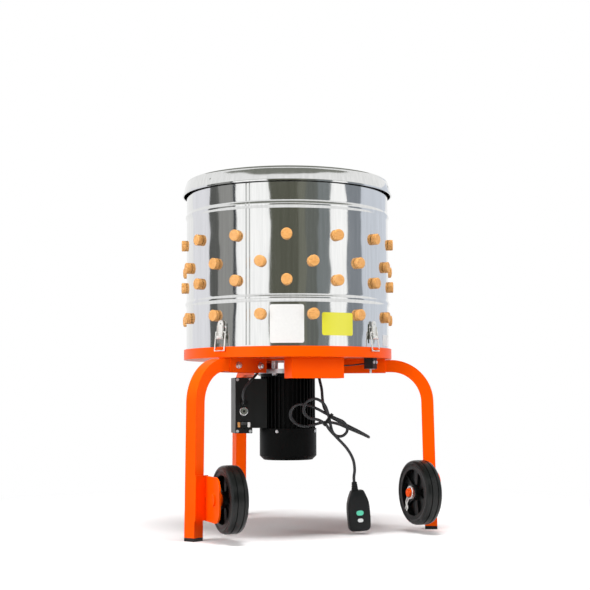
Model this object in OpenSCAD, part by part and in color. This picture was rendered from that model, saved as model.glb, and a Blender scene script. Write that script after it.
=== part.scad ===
// Drum poultry plucker on three bent tube legs, two of them with wheels.
// Millimetres, +Z up, standing on z = 0. Pieces are drawn about the drum's own axis.

/* [Drum] */
// Outer radius of the drum
drum_r = 255.5; // [252:0.5:257]
// Thickness of the drum sheet
drum_wall = 1; // [0.8:0.1:1.5]
// Height of the drum from the base floor to its top edge
drum_h = 440; // [426:1:470]
// How far a swaged bead stands out
bead_out = 3; // [2:0.5:5]
// Half the height of a bead
bead_half = 10; // [8:0.5:12]
// Height of the lower bead above the drum's foot
bead_low = 135; // [130:1:140]
// Height of the upper bead above the drum's foot
bead_high = 355; // [336:1:372]
// Width of the lock seam
seam_w = 12; // [8:1:16]
// Height of the rim hoop
rim_h = 37.5; // [34:0.5:46]
// How far the hoop's skirt flares from its neck to its foot
rim_flare = 7; // [4:0.5:9]
// Radius of the roll along the hoop's top
rim_roll = 6; // [5:0.5:8]
// Sheet thickness of the rim hoop
rim_wall = 1.2; // [1:0.1:2]
// Rivets that hold the rim hoop
rim_rivet_count = 3; // [3:1:12]

/* [Rubber fingers] */
// Fingers in one row round the drum
finger_count = 13; // [9:1:14]
// Diameter of a finger's head
head_d = 27; // [24:0.5:30]
// Thickness of a finger's head
head_t = 12.5; // [10:0.5:15]
// Diameter of the neck in its hole
neck_d = 19; // [16:0.5:20]
// Diameter of the finger's body at its root
body_d = 21; // [20.5:0.5:23]
// Diameter of the finger's tip
tip_d = 14; // [12:0.5:16]
// Length of the finger's body
finger_reach = 74; // [60:1:78]
// Heights of the four rows above the drum's foot
row_z_1 = 97; // [94:1:100]
// Second row
row_z_2 = 177; // [172:1:182]
// Third row
row_z_3 = 221; // [216:1:226]
// Fourth row
row_z_4 = 284; // [275:1:292]

/* [Finger plate] */
// Gap between the turning plate's edge and the drum sheet
plate_gap = 14.5; // [10:0.5:25]
// Thickness of the turning plate
plate_t = 4; // [3:0.5:6]
// Height of the plate above the base floor
plate_lift = 24; // [22:1:28]
// Radius of the plate's outer ring of fingers
plate_ring_r = 152; // [135:1:154]
// Radius of the hub under the plate
hub_r = 45; // [36:1:50]

/* [Base] */
// Height of the base's underside
base_z = 418; // [410:1:430]
// How far the base ring stands out round the drum
ring_step = 6; // [5:0.5:9]
// Height of the base ring
ring_h = 25; // [22:1:30]
// Thickness of the ring's wall
ring_wall = 3; // [2:0.5:4]
// Thickness of the base floor
floor_t = 3; // [2:0.5:4]
// Thickness of the plate that stiffens the floor above the motor
mount_t = 4; // [3:0.5:6]
// Radius of that plate
mount_r = 100; // [92:1:104]
// Width of the feather chute
chute_w = 136; // [120:1:150]
// Height of the feather chute
chute_h = 49; // [40:1:55]
// Depth of the feather chute
chute_d = 46; // [40:1:52]
// Distance of the chute's front inside the ring's edge
chute_inset = 64.5; // [58:0.5:72]
// Sheet thickness of the chute and the channels
sheet_t = 2.5; // [2:0.5:3]

/* [Legs] */
// Side of the square leg tube
tube = 30; // [28:0.5:32]
// Wall of the leg tube
tube_wall = 2; // [1.5:0.5:3]
// Bend radius at the tube's centre line
bend_r = 90; // [75:1:100]
// Outward lean of the legs in degrees
splay = 1; // [0.5:0.5:4]
// Distance from the drum's axis to a foot's centre
foot_r = 355; // [345:1:370]
// Height of a foot cap under its tube
cap_h = 8; // [5:1:12]
// Distance from the drum's axis to a tube's inner end
tube_in_r = 109; // [107:1:120]
// Distance of a channel's outer end inside the ring's edge
channel_inset = 15.5; // [12:0.5:26]
// Distance of the inner bolt from the drum's axis
bolt_in_r = 134; // [130:1:150]
// Distance of the outer bolt from the drum's axis
bolt_out_r = 217; // [200:1:225]
// Diameter of the leg bolts
bolt_d = 8; // [6:1:10]

/* [Wheels] */
// Diameter of a wheel
wheel_d = 154; // [140:1:164]
// Width of the tyre
wheel_w = 41; // [34:1:44]
// Depth of the rubber on the tread
tyre_depth = 13; // [10:1:16]
// Distance of a wheel's middle plane inside its foot's centre
wheel_inset = 64.5; // [62:0.5:66]
// Distance of the axles in front of the wheel legs' feet
axle_ahead = 61.5; // [54:0.5:70]
// Height of the axles
axle_z = 95; // [88:1:104]
// Diameter of the stub axles
axle_d = 20; // [16:1:22]
// Half the height of a wheel plate
wheel_plate_half = 51; // [40:1:56]
// How far a wheel plate reaches in front of its axle
wheel_plate_reach = 36; // [32:1:44]
// Radius of a wheel plate's front corners
wheel_plate_corner = 28; // [20:1:32]
// Gap between a wheel plate and its tyre
wheel_plate_gap = 13; // [10:0.5:16]
// Thickness of a wheel plate
wheel_plate_t = 4; // [3:0.5:6]

/* [Motor] */
// Radius of the motor over its fins
motor_r = 69; // [66:0.5:71]
// Length of the finned body
motor_len = 150; // [140:1:160]
// Length of the fan cover below the body
fan_cover_len = 64; // [56:1:72]
// Number of cooling fins
fin_count = 40; // [24:2:44]
// Thickness of the motor's flange
flange_t = 11; // [9:0.5:14]
// Radius of the motor's flange
flange_r = 85; // [84:0.5:90]
// Length of the standoffs between the flange and the mount plate
standoff = 20; // [16:1:24]
// Distance of the standoffs from the axis
standoff_r = 76; // [75.5:0.5:78]
// Diameter of the drive shaft
shaft_d = 20; // [16:1:22]

/* [Switch box] */
// Width of the switch box
box_w = 42; // [38:1:46]
// Depth of the switch box
box_d = 84; // [76:1:92]
// Height of the switch box
box_h = 137; // [134:1:142]
// Distance from the axis to the box's outer side
box_reach = 139; // [134:1:150]
// Wall of the switch box
box_wall = 2.5; // [2:0.5:3]
// Thickness of its front panel
panel_t = 3; // [2:0.5:4]
// Diameter of the push button
button_d = 14; // [10:0.5:16]
// Travel of the push button
button_travel = 2.5; // [1.5:0.5:3]
// Width of the rocker
rocker_w = 15; // [12:0.5:17]
// Height of the rocker
rocker_h = 19; // [16:0.5:21]

/* [Latches] */
// Width of a latch lever
lever_w = 17; // [14:0.5:17.5]
// Length of a lever above its pivot
lever_len = 40; // [32:1:41]
// Height of the lever pivots above the drum's foot
latch_z = 45; // [43:1:46]
// Distance from a lever's pivot up to the bail's pivot
bail_arm = 12; // [11:0.5:14]
// Wire diameter of a bail
bail_d = 3; // [2.5:0.25:3.5]

/* [Cord and plug] */
// Diameter of the power cord
cord_d = 7; // [6:0.2:7.2]
// Width of the plug's body
plug_w = 54; // [50:1:58]
// Height of the plug's body
plug_h = 96; // [90:1:98]
// Thickness of the plug's body
plug_t = 30; // [26:1:34]

/* [Hidden] */
$fn = 64;

// Clearances: a loose fit round a bolt, a running fit on a radius, and air between curved faces
loose = 0.2;
running = 0.05;
air = 0.3;
cut = 1;

// The base ring and what stands on its floor
floor_top = base_z + floor_t;
drum_top = floor_top + drum_h;
ring_r = drum_r + ring_step;
ring_in = ring_r - ring_wall;
drum_in = drum_r - drum_wall;
plate_r = drum_in - plate_gap;
chute_front = ring_r - chute_inset;
channel_out_r = ring_r - channel_inset;
plate_z = floor_top + plate_lift;

// Places round the drum, in degrees from +X
LEG_TURNS = [210, 330, 90];
LATCH_TURNS = [-150, -60, 30, 120];
VIEW_TURN = -113;
SEAM_TURN = -134;
finger_pitch = 360 / finger_count;
ROWS = [row_z_1, row_z_2, row_z_3, row_z_4];

// A leg's bend, seen in the leg's own upright plane
tube_z = base_z - sheet_t - tube / 2;
bend_z = tube_z - bend_r;
bend_x = foot_r - bend_r / cos(splay) - bend_z * tan(splay);

// The part is moved so that its footprint is centred on the origin
leg_half_turn = 60;
wheel_x = foot_r * sin(leg_half_turn) - wheel_inset;
axle_front = foot_r * cos(leg_half_turn) + axle_ahead;
back_reach = foot_r + tube / 2;
front_reach = axle_front + wheel_d / 2;
axis_y = (front_reach - back_reach) / 2;

// Motor heights, from the base down
flange_top = base_z - mount_t - standoff;
motor_top = flange_top - flange_t;
motor_foot = motor_top - motor_len;

ORANGE = [1, 0.35, 0];
STEEL = [0.8, 0.82, 0.84];
ZINC = [0.7, 0.7, 0.68];
BLACK = [0.08, 0.08, 0.09];
RUBBER = [0.96, 0.65, 0.29];

module placed() {
  translate([0, axis_y, 0]) children();
}

// A round bar or hole along the local Y axis, centred on the origin
module bar_y(d, len) {
  rotate([90, 0, 0]) cylinder(d = d, h = len, center = true);
}

// A round bar along the local X axis from the origin
module bar_x(d, len) {
  rotate([0, 90, 0]) cylinder(d = d, h = len);
}

// A plate with rounded corners in the XY plane
module rounded_plate(w, h, t, r) {
  linear_extrude(t) {
    square([w - 2 * r, h], center = true);
    square([w, h - 2 * r], center = true);
    for (sx = [-1, 1], sy = [-1, 1]) translate([sx * (w / 2 - r), sy * (h / 2 - r)]) circle(r);
  }
}

// The drum: a rolled sheet with two swaged beads, a lock seam and a hole for each finger

// A bead's outward swell at height dz from its middle
function bead_swell(dz) = abs(dz) < bead_half ? bead_out * (1 + cos(180 * dz / bead_half)) / 2 : 0;
BEAD_STEPS = [-1, -0.75, -0.5, -0.25, 0, 0.25, 0.5, 0.75, 1];
function bead_points(z, r) = [for (s = BEAD_STEPS) [r + bead_swell(s * bead_half), z + s * bead_half]];
function wall_points(r) = concat([[r, 0]], bead_points(bead_low, r), bead_points(bead_high, r),
  [[r, drum_h]]);
function reversed(list) = [for (i = [len(list) - 1 : -1 : 0]) list[i]];

// Every finger's place on the drum: [turn, height above the foot]
FINGERS = [for (row = [0 : 3], k = [0 : finger_count - 1])
  [VIEW_TURN + (k + (row % 2 == 0 ? 0.5 : 0)) * finger_pitch, ROWS[row]]];

module at_fingers() {
  for (place = FINGERS) rotate([0, 0, place[0]]) translate([0, 0, floor_top + place[1]]) children();
}

module lock_seam() {
  seam_t = 1.2;
  lip = 3;
  for (side = [-1, 1]) rotate([0, 0, SEAM_TURN]) intersection() {
    translate([0, side * (seam_w - lip) / 2 - lip / 2, floor_top + ring_h])
      cube([ring_r, lip, drum_h - ring_h - rim_h]);
    difference() {
      cylinder(r = drum_r + seam_t, h = drum_top);
      translate([0, 0, -cut]) cylinder(r = drum_in + drum_wall / 2, h = drum_top + 2 * cut);
    }
  }
}

module drum_shell() {
  color(STEEL) difference() {
    union() {
      translate([0, 0, floor_top]) rotate_extrude()
        polygon(concat(wall_points(drum_in), reversed(wall_points(drum_r))));
      lock_seam();
    }
    at_fingers() translate([drum_in - 5, 0, 0]) bar_x(neck_d + 2 * loose, 10);
    rivet_holes();
  }
}

// The rim hoop: a flared skirt over the drum's top edge, rolled inwards at the top, with a lip at its foot
rim_neck = drum_r + air + rim_wall;
rim_out = rim_neck + rim_flare;
rim_rise = 7;
rim_foot = drum_top + rim_rise - rim_h;
rim_roll_z = rim_foot + rim_h - rim_roll;
rim_lip_h = 3;
rim_lip_out = 2;
rim_skirt_z = rim_foot + rim_lip_h + 1;
rim_lean = atan2(rim_flare, rim_roll_z - rim_skirt_z);

// The skirt's outer radius at height z
function rim_skirt(z) = rim_out - rim_flare * (z - rim_skirt_z) / (rim_roll_z - rim_skirt_z);

module rim_hoop() {
  lip = rim_out + rim_lip_out;
  inner_r = rim_roll - rim_wall;
  roll_at = rim_neck - rim_roll;
  outer = concat([[lip, rim_foot], [lip, rim_foot + rim_lip_h], [rim_out, rim_skirt_z]],
    [for (a = [0 : 15 : 180]) [roll_at + rim_roll * cos(a), rim_roll_z + rim_roll * sin(a)]]);
  inner = concat([for (a = [180 : -15 : 0]) [roll_at + inner_r * cos(a), rim_roll_z + inner_r * sin(a)]],
    [[rim_out - rim_wall, rim_skirt_z], [rim_out - rim_wall, rim_foot]]);
  color(STEEL) difference() {
    rotate_extrude() polygon(concat(outer, inner));
    rivet_holes();
  }
}

// Rivets through the rim hoop, and two through each latch base
rivet_d = 7;
rivet_shank = 4;
rivet_dome = 2;

// A rivet along +X whose head sits on x = 0
module rivet(grip) {
  color(STEEL) {
    bar_x(rivet_d, rivet_dome);
    translate([-grip, 0, 0]) bar_x(rivet_shank, grip + rivet_dome / 2);
  }
}

module at_rim_rivets() {
  rivet_z = rim_foot + rim_h * 0.45;
  for (k = [0 : rim_rivet_count - 1]) rotate([0, 0, VIEW_TURN - 45 + k * 360 / rim_rivet_count])
    translate([rim_skirt(rivet_z), 0, rivet_z]) rotate([0, -rim_lean, 0]) translate([0.05, 0, 0]) children();
}

module at_latch_rivets() {
  for (turn = LATCH_TURNS, side = [-1, 1]) rotate([0, 0, turn])
    translate([latch_face + latch_plate_t, side * latch_rivet_y, floor_top + latch_z + latch_rivet_up])
      children();
}

module rivet_holes() {
  at_rim_rivets() translate([-20, 0, 0]) bar_x(rivet_shank + 2 * loose, 30);
  at_latch_rivets() translate([-20, 0, 0]) bar_x(rivet_shank + 2 * loose, 30);
}

module drum_rivets() {
  at_rim_rivets() rivet(rim_out - drum_in + 2);
  at_latch_rivets() rivet(latch_plate_t + drum_wall + 3);
}

// One rubber finger, lying along +X with its head outside the drum's radius r
module finger(r, sheet) {
  seat = 0.1;
  slack = 0.4;
  bevel = 1.5;
  face = r + seat + head_t;
  rib_count = 8;
  edge_at = [0, 0.35, 0.7];
  groove = [1, 0, 1];
  root = r - sheet - slack;
  rib = finger_reach / rib_count;
  slim = (body_d - tip_d) / 2 / rib_count;
  ribs = [for (k = [0 : rib_count - 1], edge = [0 : 2])
    [body_d / 2 - slim * k - (k + edge == 0 ? 0 : groove[edge]), root - rib * (k + edge_at[edge])]];
  color(RUBBER) rotate([0, 90, 0]) rotate_extrude(convexity = 4)
    polygon(concat([[0, root - finger_reach], [0, face], [head_d / 2 - bevel, face],
      [head_d / 2, face - bevel], [head_d / 2, r + seat], [neck_d / 2, r + seat], [neck_d / 2, root]],
      ribs, [[tip_d / 2 - 1, root - finger_reach]]));
}

module drum_fingers() {
  at_fingers() finger(drum_r, drum_wall);
}

// Plain stickers on the drum: [turn, height above the foot, width, height]
LABELS = [[VIEW_TURN, 74, 80, 90], [VIEW_TURN + 28, 74, 83, 54], [VIEW_TURN + 71, 41, 45, 27]];
label_t = 0.3;

module drum_labels() {
  color("white") for (label = LABELS) rotate([0, 0, label[0]]) intersection() {
    translate([0, 0, floor_top + label[1]]) rotate([90, 0, 90])
      rounded_plate(label[2], label[3], drum_r + cut, 5);
    difference() {
      cylinder(r = drum_r + 0.05 + label_t, h = drum_top);
      translate([0, 0, -cut]) cylinder(r = drum_r + 0.05, h = drum_top + 2 * cut);
    }
  }
}

// A toggle latch, in its own frame: +X out of the drum, z = 0 at the lever's pivot
latch_face = drum_r + 0.05;
latch_plate_t = 1.5;
latch_plate_w = 30;
latch_rivet_y = 11.5;
latch_rivet_up = 25;
pivot_out = ring_r + 1.5;
bail_pivot_out = pivot_out - 2;
bail_leg_y = lever_w / 2 + 6;
bar_out = ring_r + 4.5;
pin_d = 4;
knuckle_d = 10;
hook_z = base_z + ring_h - 7;
hook_t = 2.5;
bar_z = hook_z - 0.4 - bail_d / 2;

module at_latch(turn) {
  rotate([0, 0, turn]) translate([0, 0, floor_top + latch_z]) children();
}

module latch_base() {
  ear_t = 2;
  ear_h = 9;
  ear_y = lever_w / 2 + air;
  plate_foot = -14;
  translate([latch_face, -latch_plate_w / 2, plate_foot])
    cube([latch_plate_t, latch_plate_w, latch_rivet_up + 7 - plate_foot]);
  for (side = [-1, 1]) translate([0, side * (ear_y + ear_t / 2), 0]) {
    translate([pivot_out, 0, 0]) bar_y(ear_h, ear_t);
    translate([latch_face, -ear_t / 2, -ear_h / 2]) cube([pivot_out - latch_face, ear_t, ear_h]);
  }
  translate([pivot_out, 0, 0]) bar_y(pin_d, 2 * (ear_y + ear_t));
}

module latch_bases() {
  color(STEEL) difference() {
    for (turn = LATCH_TURNS) at_latch(turn) latch_base();
    at_latch_rivets() translate([-20, 0, 0]) bar_x(rivet_shank + 2 * loose, 30);
  }
}

module latch_lever(turn) {
  blade_t = 3;
  blade_x = bail_pivot_out - blade_t / 2;
  tip_r = lever_w / 2;
  color(STEEL) at_latch(turn) difference() {
    union() {
      translate([pivot_out, 0, 0]) bar_y(knuckle_d, lever_w);
      translate([bail_pivot_out, 0, bail_arm]) bar_y(bail_d + 4, lever_w);
      translate([bail_pivot_out - 3, -lever_w / 2, 0]) cube([7, lever_w, bail_arm]);
      translate([blade_x, -lever_w / 2, bail_arm]) cube([blade_t, lever_w, lever_len - tip_r - bail_arm]);
      translate([blade_x, 0, lever_len - tip_r]) bar_x(lever_w, blade_t);
    }
    translate([pivot_out, 0, 0]) bar_y(pin_d + 2 * running, lever_w + 2 * cut);
    translate([bail_pivot_out, 0, bail_arm]) bar_y(bail_d + 2 * running, lever_w + 2 * cut);
  }
}

// The wire bail hangs from the lever and lies under the hook on the base ring
module latch_bail(turn) {
  bar = [bar_out, bar_z - floor_top - latch_z];
  top = [bail_pivot_out, bail_arm];
  fall = norm(top - bar);
  lean = atan2(bar[0] - top[0], top[1] - bar[1]);
  elbow_d = bail_d + 0.2;
  color(STEEL) at_latch(turn) {
    for (side = [-1, 1]) {
      translate([top[0], side * bail_leg_y, top[1]]) {
        sphere(d = elbow_d);
        rotate([0, 180 - lean, 0]) cylinder(d = bail_d, h = fall);
        translate([0, -side * (bail_leg_y - 2) / 2, 0]) bar_y(bail_d, bail_leg_y - 2);
      }
      translate([bar[0], side * bail_leg_y, bar[1]]) sphere(d = elbow_d);
    }
    translate([bar[0], 0, bar[1]]) bar_y(bail_d, 2 * bail_leg_y);
  }
}

module latch_hook() {
  hook_w = lever_w + 2;
  hook_reach = 10;
  translate([ring_in + cut, -hook_w / 2, hook_z]) cube([ring_wall - cut + hook_reach, hook_w, hook_t]);
}

// The base: a ring and its floor, open to the chute at the front and to the shaft in the middle
shaft_hole_r = 16;
chute_x = -4;

module base_ring() {
  color(ORANGE) difference() {
    union() {
      translate([0, 0, base_z]) cylinder(r = ring_r, h = ring_h);
      for (turn = LATCH_TURNS) rotate([0, 0, turn]) latch_hook();
    }
    translate([0, 0, floor_top]) cylinder(r = ring_in, h = ring_h);
    translate([0, 0, base_z - cut]) cylinder(r = shaft_hole_r, h = floor_t + 2 * cut);
    translate([chute_x - chute_w / 2 + sheet_t, -chute_front + sheet_t, base_z - cut])
      cube([chute_w - 2 * sheet_t, chute_d - 2 * sheet_t, floor_t + 2 * cut]);
    at_motor_bolts() translate([0, 0, base_z - cut])
      cylinder(d = bolt_d + 2 * loose, h = floor_t + 2 * cut);
  }
}

module mount_plate() {
  color(ORANGE) difference() {
    translate([0, 0, base_z - mount_t]) cylinder(r = mount_r, h = mount_t);
    translate([0, 0, base_z - mount_t - cut]) cylinder(r = shaft_hole_r, h = mount_t + 2 * cut);
    at_motor_bolts() translate([0, 0, base_z - mount_t - cut])
      cylinder(d = bolt_d + 2 * loose, h = mount_t + 2 * cut);
  }
}

module chute() {
  color(ORANGE) difference() {
    translate([chute_x - chute_w / 2, -chute_front, base_z - chute_h]) cube([chute_w, chute_d, chute_h]);
    translate([chute_x - chute_w / 2 + sheet_t, -chute_front + sheet_t, base_z - chute_h - cut])
      cube([chute_w - 2 * sheet_t, chute_d - 2 * sheet_t, chute_h + 2 * cut]);
  }
}

// A leg: one square tube, level under the base, bent down and leaning outwards to its foot
module leg_side_view(side, top_end) {
  far = 2 * tube_z;
  drop = bend_z / cos(splay) + tube;
  // The bend stands a hair proud of the straights, so that they cross it at clear points
  hair = 0.02;
  outer = bend_r + side / 2;
  inner = bend_r - side / 2;
  difference() {
    union() {
      translate([top_end, bend_z]) square([bend_x - top_end, outer - hair]);
      translate([bend_x, bend_z]) circle(outer);
      translate([bend_x, bend_z]) rotate(splay) translate([0, -drop]) square([outer - hair, drop]);
    }
    translate([top_end - cut, bend_z - far]) square([bend_x - top_end + cut, far + inner - hair]);
    translate([bend_x, bend_z]) circle(inner);
    translate([bend_x, bend_z]) rotate(splay) translate([-far, -2 * far])
      square([far + inner - hair, 2 * far]);
  }
}

// The tube's path in the leg's plane, with +X away from the drum's axis
module leg_path(side, top_end) {
  rotate([90, 0, 0]) translate([0, 0, -side / 2]) linear_extrude(side) leg_side_view(side, top_end);
}

module leg_bolt_bores(len) {
  for (r = [bolt_in_r, bolt_out_r]) translate([r, 0, tube_z]) bar_y(bolt_d + 2 * loose, len);
}

module leg(turn) {
  color(ORANGE) rotate([0, 0, turn]) difference() {
    leg_path(tube, tube_in_r);
    leg_path(tube - 2 * tube_wall, tube_in_r - cut);
    translate([0, -tube, cap_h - 3 * tube]) cube([2 * foot_r, 2 * tube, 3 * tube]);
    leg_bolt_bores(2 * tube);
  }
}

module leg_left() leg(LEG_TURNS[0]);
module leg_right() leg(LEG_TURNS[1]);
module leg_tail() leg(LEG_TURNS[2]);

// A foot cap: a flat pad as wide as the tube, with a plug that goes up inside it
module foot_caps() {
  plug_up = 18;
  plug_side = tube - 2 * tube_wall - 1;
  color(BLACK) for (turn = LEG_TURNS) rotate([0, 0, turn]) intersection() {
    translate([bend_x, 0, bend_z]) rotate([0, -splay, 0]) {
      translate([bend_r - tube / 2, -tube / 2, -bend_z - tube]) cube([tube, tube, tube + cap_h + 2]);
      translate([bend_r - plug_side / 2, -plug_side / 2, -bend_z - tube])
        cube([plug_side, plug_side, tube + cap_h + plug_up]);
    }
    union() {
      translate([0, -tube, 0]) cube([2 * foot_r, 2 * tube, cap_h]);
      translate([bend_x, 0, bend_z]) rotate([0, -splay, 0])
        translate([bend_r - plug_side / 2, -plug_side / 2, -bend_z]) cube([plug_side, plug_side, bend_z]);
    }
  }
}

// The channels welded under the floor: each is a top web and two cheeks astride its tube
module leg_channels() {
  length = channel_out_r - tube_in_r;
  inside = tube + 2 * loose;
  drop = sheet_t + tube + 2;
  color(ORANGE) for (turn = LEG_TURNS) rotate([0, 0, turn]) difference() {
    translate([tube_in_r, -inside / 2 - sheet_t, base_z - drop])
      cube([length, inside + 2 * sheet_t, drop]);
    translate([tube_in_r - cut, -inside / 2, base_z - drop - cut])
      cube([length + 2 * cut, inside, drop - sheet_t + cut]);
    leg_bolt_bores(2 * tube);
  }
}

// A hexagon head bolt along local Y, from one cheek to the other, and its nut
module leg_bolts() {
  half = tube / 2 + loose + sheet_t;
  head = bolt_d * 0.6;
  color(ZINC) for (turn = LEG_TURNS, r = [bolt_in_r, bolt_out_r])
    rotate([0, 0, turn]) translate([r, 0, tube_z]) {
      bar_y(bolt_d, 2 * half + 2 * head);
      for (side = SIDES) translate([0, side * (half + head / 2), 0]) rotate([90, 0, 0])
        cylinder(d = bolt_d * 1.8, h = head, center = true, $fn = 6);
    }
}

// Wheel plates: a flange on the leg's front face, bent round into the plate that carries the axle
wheel_plate_x = wheel_x + wheel_w / 2 + wheel_plate_gap;
weld_t = 3;
weld_in = 2.5;
weld_over = 12;
weld_y = (wheel_plate_x * cos(leg_half_turn) + tube / 2 + weld_in) / sin(leg_half_turn);
SIDES = [-1, 1];

// A wheel plate seen from its side, about the axle, with its front at the left
module wheel_plate_outline() {
  back = axle_front - weld_y;
  front = wheel_plate_corner - wheel_plate_reach;
  straight = wheel_plate_half - wheel_plate_corner;
  translate([front, -wheel_plate_half]) square([back - front, 2 * wheel_plate_half]);
  translate([-wheel_plate_reach, -straight]) square([back + wheel_plate_reach, 2 * straight]);
  for (side = SIDES) translate([front, side * straight]) circle(wheel_plate_corner);
}

module wheel_plate_blank() {
  rotate([0, 0, LEG_TURNS[0]]) translate([bend_x, 0, bend_z]) rotate([0, -splay, 0])
    translate([bend_r - tube / 2 - weld_over, tube / 2, axle_z - wheel_plate_half - bend_z])
      cube([tube + weld_over, weld_t, 2 * wheel_plate_half]);
  translate([-wheel_plate_x - wheel_plate_t, -axle_front, axle_z])
    rotate([90, 0, 90]) linear_extrude(wheel_plate_t) wheel_plate_outline();
}

module wheel_plates() {
  color(ORANGE) for (side = SIDES) mirror([side > 0 ? 1 : 0, 0, 0]) difference() {
    wheel_plate_blank();
    translate([-wheel_plate_x - wheel_plate_t - cut, -axle_front, axle_z])
      bar_x(axle_d + 2 * loose, wheel_plate_t + 2 * cut);
  }
}

// Stub axles: a head outside the plate, a shoulder inside it, and a free end past the wheel
hub_w = wheel_w + 1;
axle_end_x = wheel_x - hub_w / 2 - 12;
keeper_x = wheel_x - hub_w / 2 - 6;

module at_axle(side) {
  translate([0, -axle_front, axle_z]) mirror([side < 0 ? 1 : 0, 0, 0]) children();
}

module stub_axles() {
  head = 4;
  shoulder_d = axle_d + 8;
  shoulder_x = wheel_x + hub_w / 2 + air;
  color(ORANGE) for (side = SIDES) at_axle(side) difference() {
    union() {
      translate([axle_end_x, 0, 0]) bar_x(axle_d, wheel_plate_x + wheel_plate_t + head - axle_end_x);
      translate([shoulder_x, 0, 0]) bar_x(shoulder_d, wheel_plate_x - shoulder_x);
      translate([wheel_plate_x + wheel_plate_t, 0, 0]) bar_x(shoulder_d, head);
    }
    translate([keeper_x, 0, 0]) cylinder(d = 4, h = 2 * axle_d, center = true);
  }
}

// Keepers on each free end: a washer and a hairpin cotter through the axle
module wheel_keepers() {
  wire = 3;
  eye_up = 8;
  eye_r = 5;
  washer_t = 2.5;
  color(ZINC) for (side = SIDES) at_axle(side) {
    translate([wheel_x - hub_w / 2 - air - washer_t, 0, 0]) difference() {
      bar_x(axle_d + 14, washer_t);
      translate([-cut, 0, 0]) bar_x(axle_d + 2 * loose, washer_t + 2 * cut);
    }
    translate([keeper_x, 0, 0]) {
      cylinder(d = wire, h = axle_d + 2 * eye_up, center = true);
      translate([0, 0, axle_d / 2 + eye_up]) rotate([0, 90, 0]) rotate_extrude()
        translate([eye_r, 0]) circle(d = wire);
    }
  }
}

// A wheel: a solid rubber tyre with two grooves, on a moulded hub with six wedge ribs on its web
module tyre(side) {
  r = wheel_d / 2;
  half = wheel_w / 2;
  groove = 2.5;
  edge = 4;
  color(BLACK) at_axle(side) translate([wheel_x, 0, 0]) rotate([0, 90, 0]) rotate_extrude() polygon([
    [r - tyre_depth, -half + 1], [r - edge, -half], [r, -half + edge],
    [r, -half * 0.42], [r - groove, -half * 0.36], [r - groove, -half * 0.26], [r, -half * 0.2],
    [r, half * 0.2], [r - groove, half * 0.26], [r - groove, half * 0.36], [r, half * 0.42],
    [r, half - edge], [r - edge, half], [r - tyre_depth, half - 1]]);
}

module wheel_hub(side) {
  rim_r = wheel_d / 2 - tyre_depth;
  rim_in = rim_r - 9;
  boss_r = axle_d / 2 + 9;
  web = 8;
  rib_up = 6;
  rib_half = 10;
  rib_root = 5;
  into = 1;
  color(BLACK) at_axle(side) translate([wheel_x, 0, 0]) rotate([0, 90, 0]) difference() {
    union() {
      difference() {
        cylinder(r = rim_r, h = wheel_w - 2, center = true);
        cylinder(r = rim_in, h = wheel_w, center = true);
      }
      cylinder(r = rim_in + cut, h = web, center = true);
      cylinder(r = boss_r, h = hub_w, center = true);
      for (k = [0 : 5]) rotate([0, 0, 60 * k]) linear_extrude(web + 2 * rib_up, center = true)
        polygon([[boss_r - into, -rib_root], [rim_in + into, -rib_half],
          [rim_in + into, rib_half], [boss_r - into, rib_root]]);
    }
    cylinder(d = axle_d + 2 * running, h = hub_w + 2 * cut, center = true);
  }
}

module tyre_left() tyre(-1);
module tyre_right() tyre(1);
module wheel_hub_left() wheel_hub(-1);
module wheel_hub_right() wheel_hub(1);

// The turning plate, its fingers and its hub, all on the motor's shaft
PLATE_RINGS = [[plate_ring_r, 12], [plate_ring_r - 46, 8], [plate_ring_r - 90, 5]];
hub_h = plate_lift - 10;
shaft_r = shaft_d / 2;

module at_plate_fingers() {
  for (ring = PLATE_RINGS, k = [0 : ring[1] - 1]) rotate([0, 0, (k + 0.5) * 360 / ring[1]])
    translate([ring[0], 0, 0]) children();
}

module finger_plate() {
  color(STEEL) difference() {
    translate([0, 0, plate_z]) cylinder(r = plate_r, h = plate_t);
    translate([0, 0, plate_z - cut]) cylinder(r = shaft_r + loose, h = plate_t + 2 * cut);
    at_plate_fingers() translate([0, 0, plate_z - cut])
      cylinder(d = neck_d + 2 * loose, h = plate_t + 2 * cut);
  }
}

module plate_fingers() {
  at_plate_fingers() translate([0, 0, plate_z]) rotate([0, 90, 0]) finger(0, plate_t);
}

module plate_hub() {
  nut_h = 14;
  color(ZINC) difference() {
    union() {
      translate([0, 0, plate_z - hub_h]) cylinder(r = shaft_r + 8, h = hub_h);
      translate([0, 0, plate_z - 6]) cylinder(r = hub_r, h = 6);
      translate([0, 0, plate_z + plate_t]) cylinder(r = shaft_r + 8, h = nut_h, $fn = 6);
    }
    translate([0, 0, plate_z - hub_h - cut])
      cylinder(r = shaft_r + running, h = hub_h + plate_t + nut_h + 2 * cut);
  }
}

// The motor: rotor and stator in a finned body, with a flange above and a fan below
bearing_r = 21;
bearing_h = 10;
core_r = 38;
core_len = motor_len * 0.6;
core_z = motor_foot + (motor_len - core_len) / 2;
body_in = motor_r - 11;
skirt_h = 14;
fan_z = motor_foot - 30;
STANDOFF_TURNS = [for (k = [0 : 3]) VIEW_TURN - 25 + 90 * k];

module at_motor_bolts() {
  for (turn = STANDOFF_TURNS) rotate([0, 0, turn]) translate([standoff_r, 0, 0]) children();
}

module drive_shaft() {
  color(ZINC) translate([0, 0, fan_z - 4]) cylinder(r = shaft_r, h = plate_z + plate_t + 18 - fan_z + 4);
}

module rotor_core() {
  color(ZINC) translate([0, 0, core_z]) difference() {
    cylinder(r = core_r, h = core_len);
    translate([0, 0, -cut]) cylinder(r = shaft_r + running, h = core_len + 2 * cut);
  }
}

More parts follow.
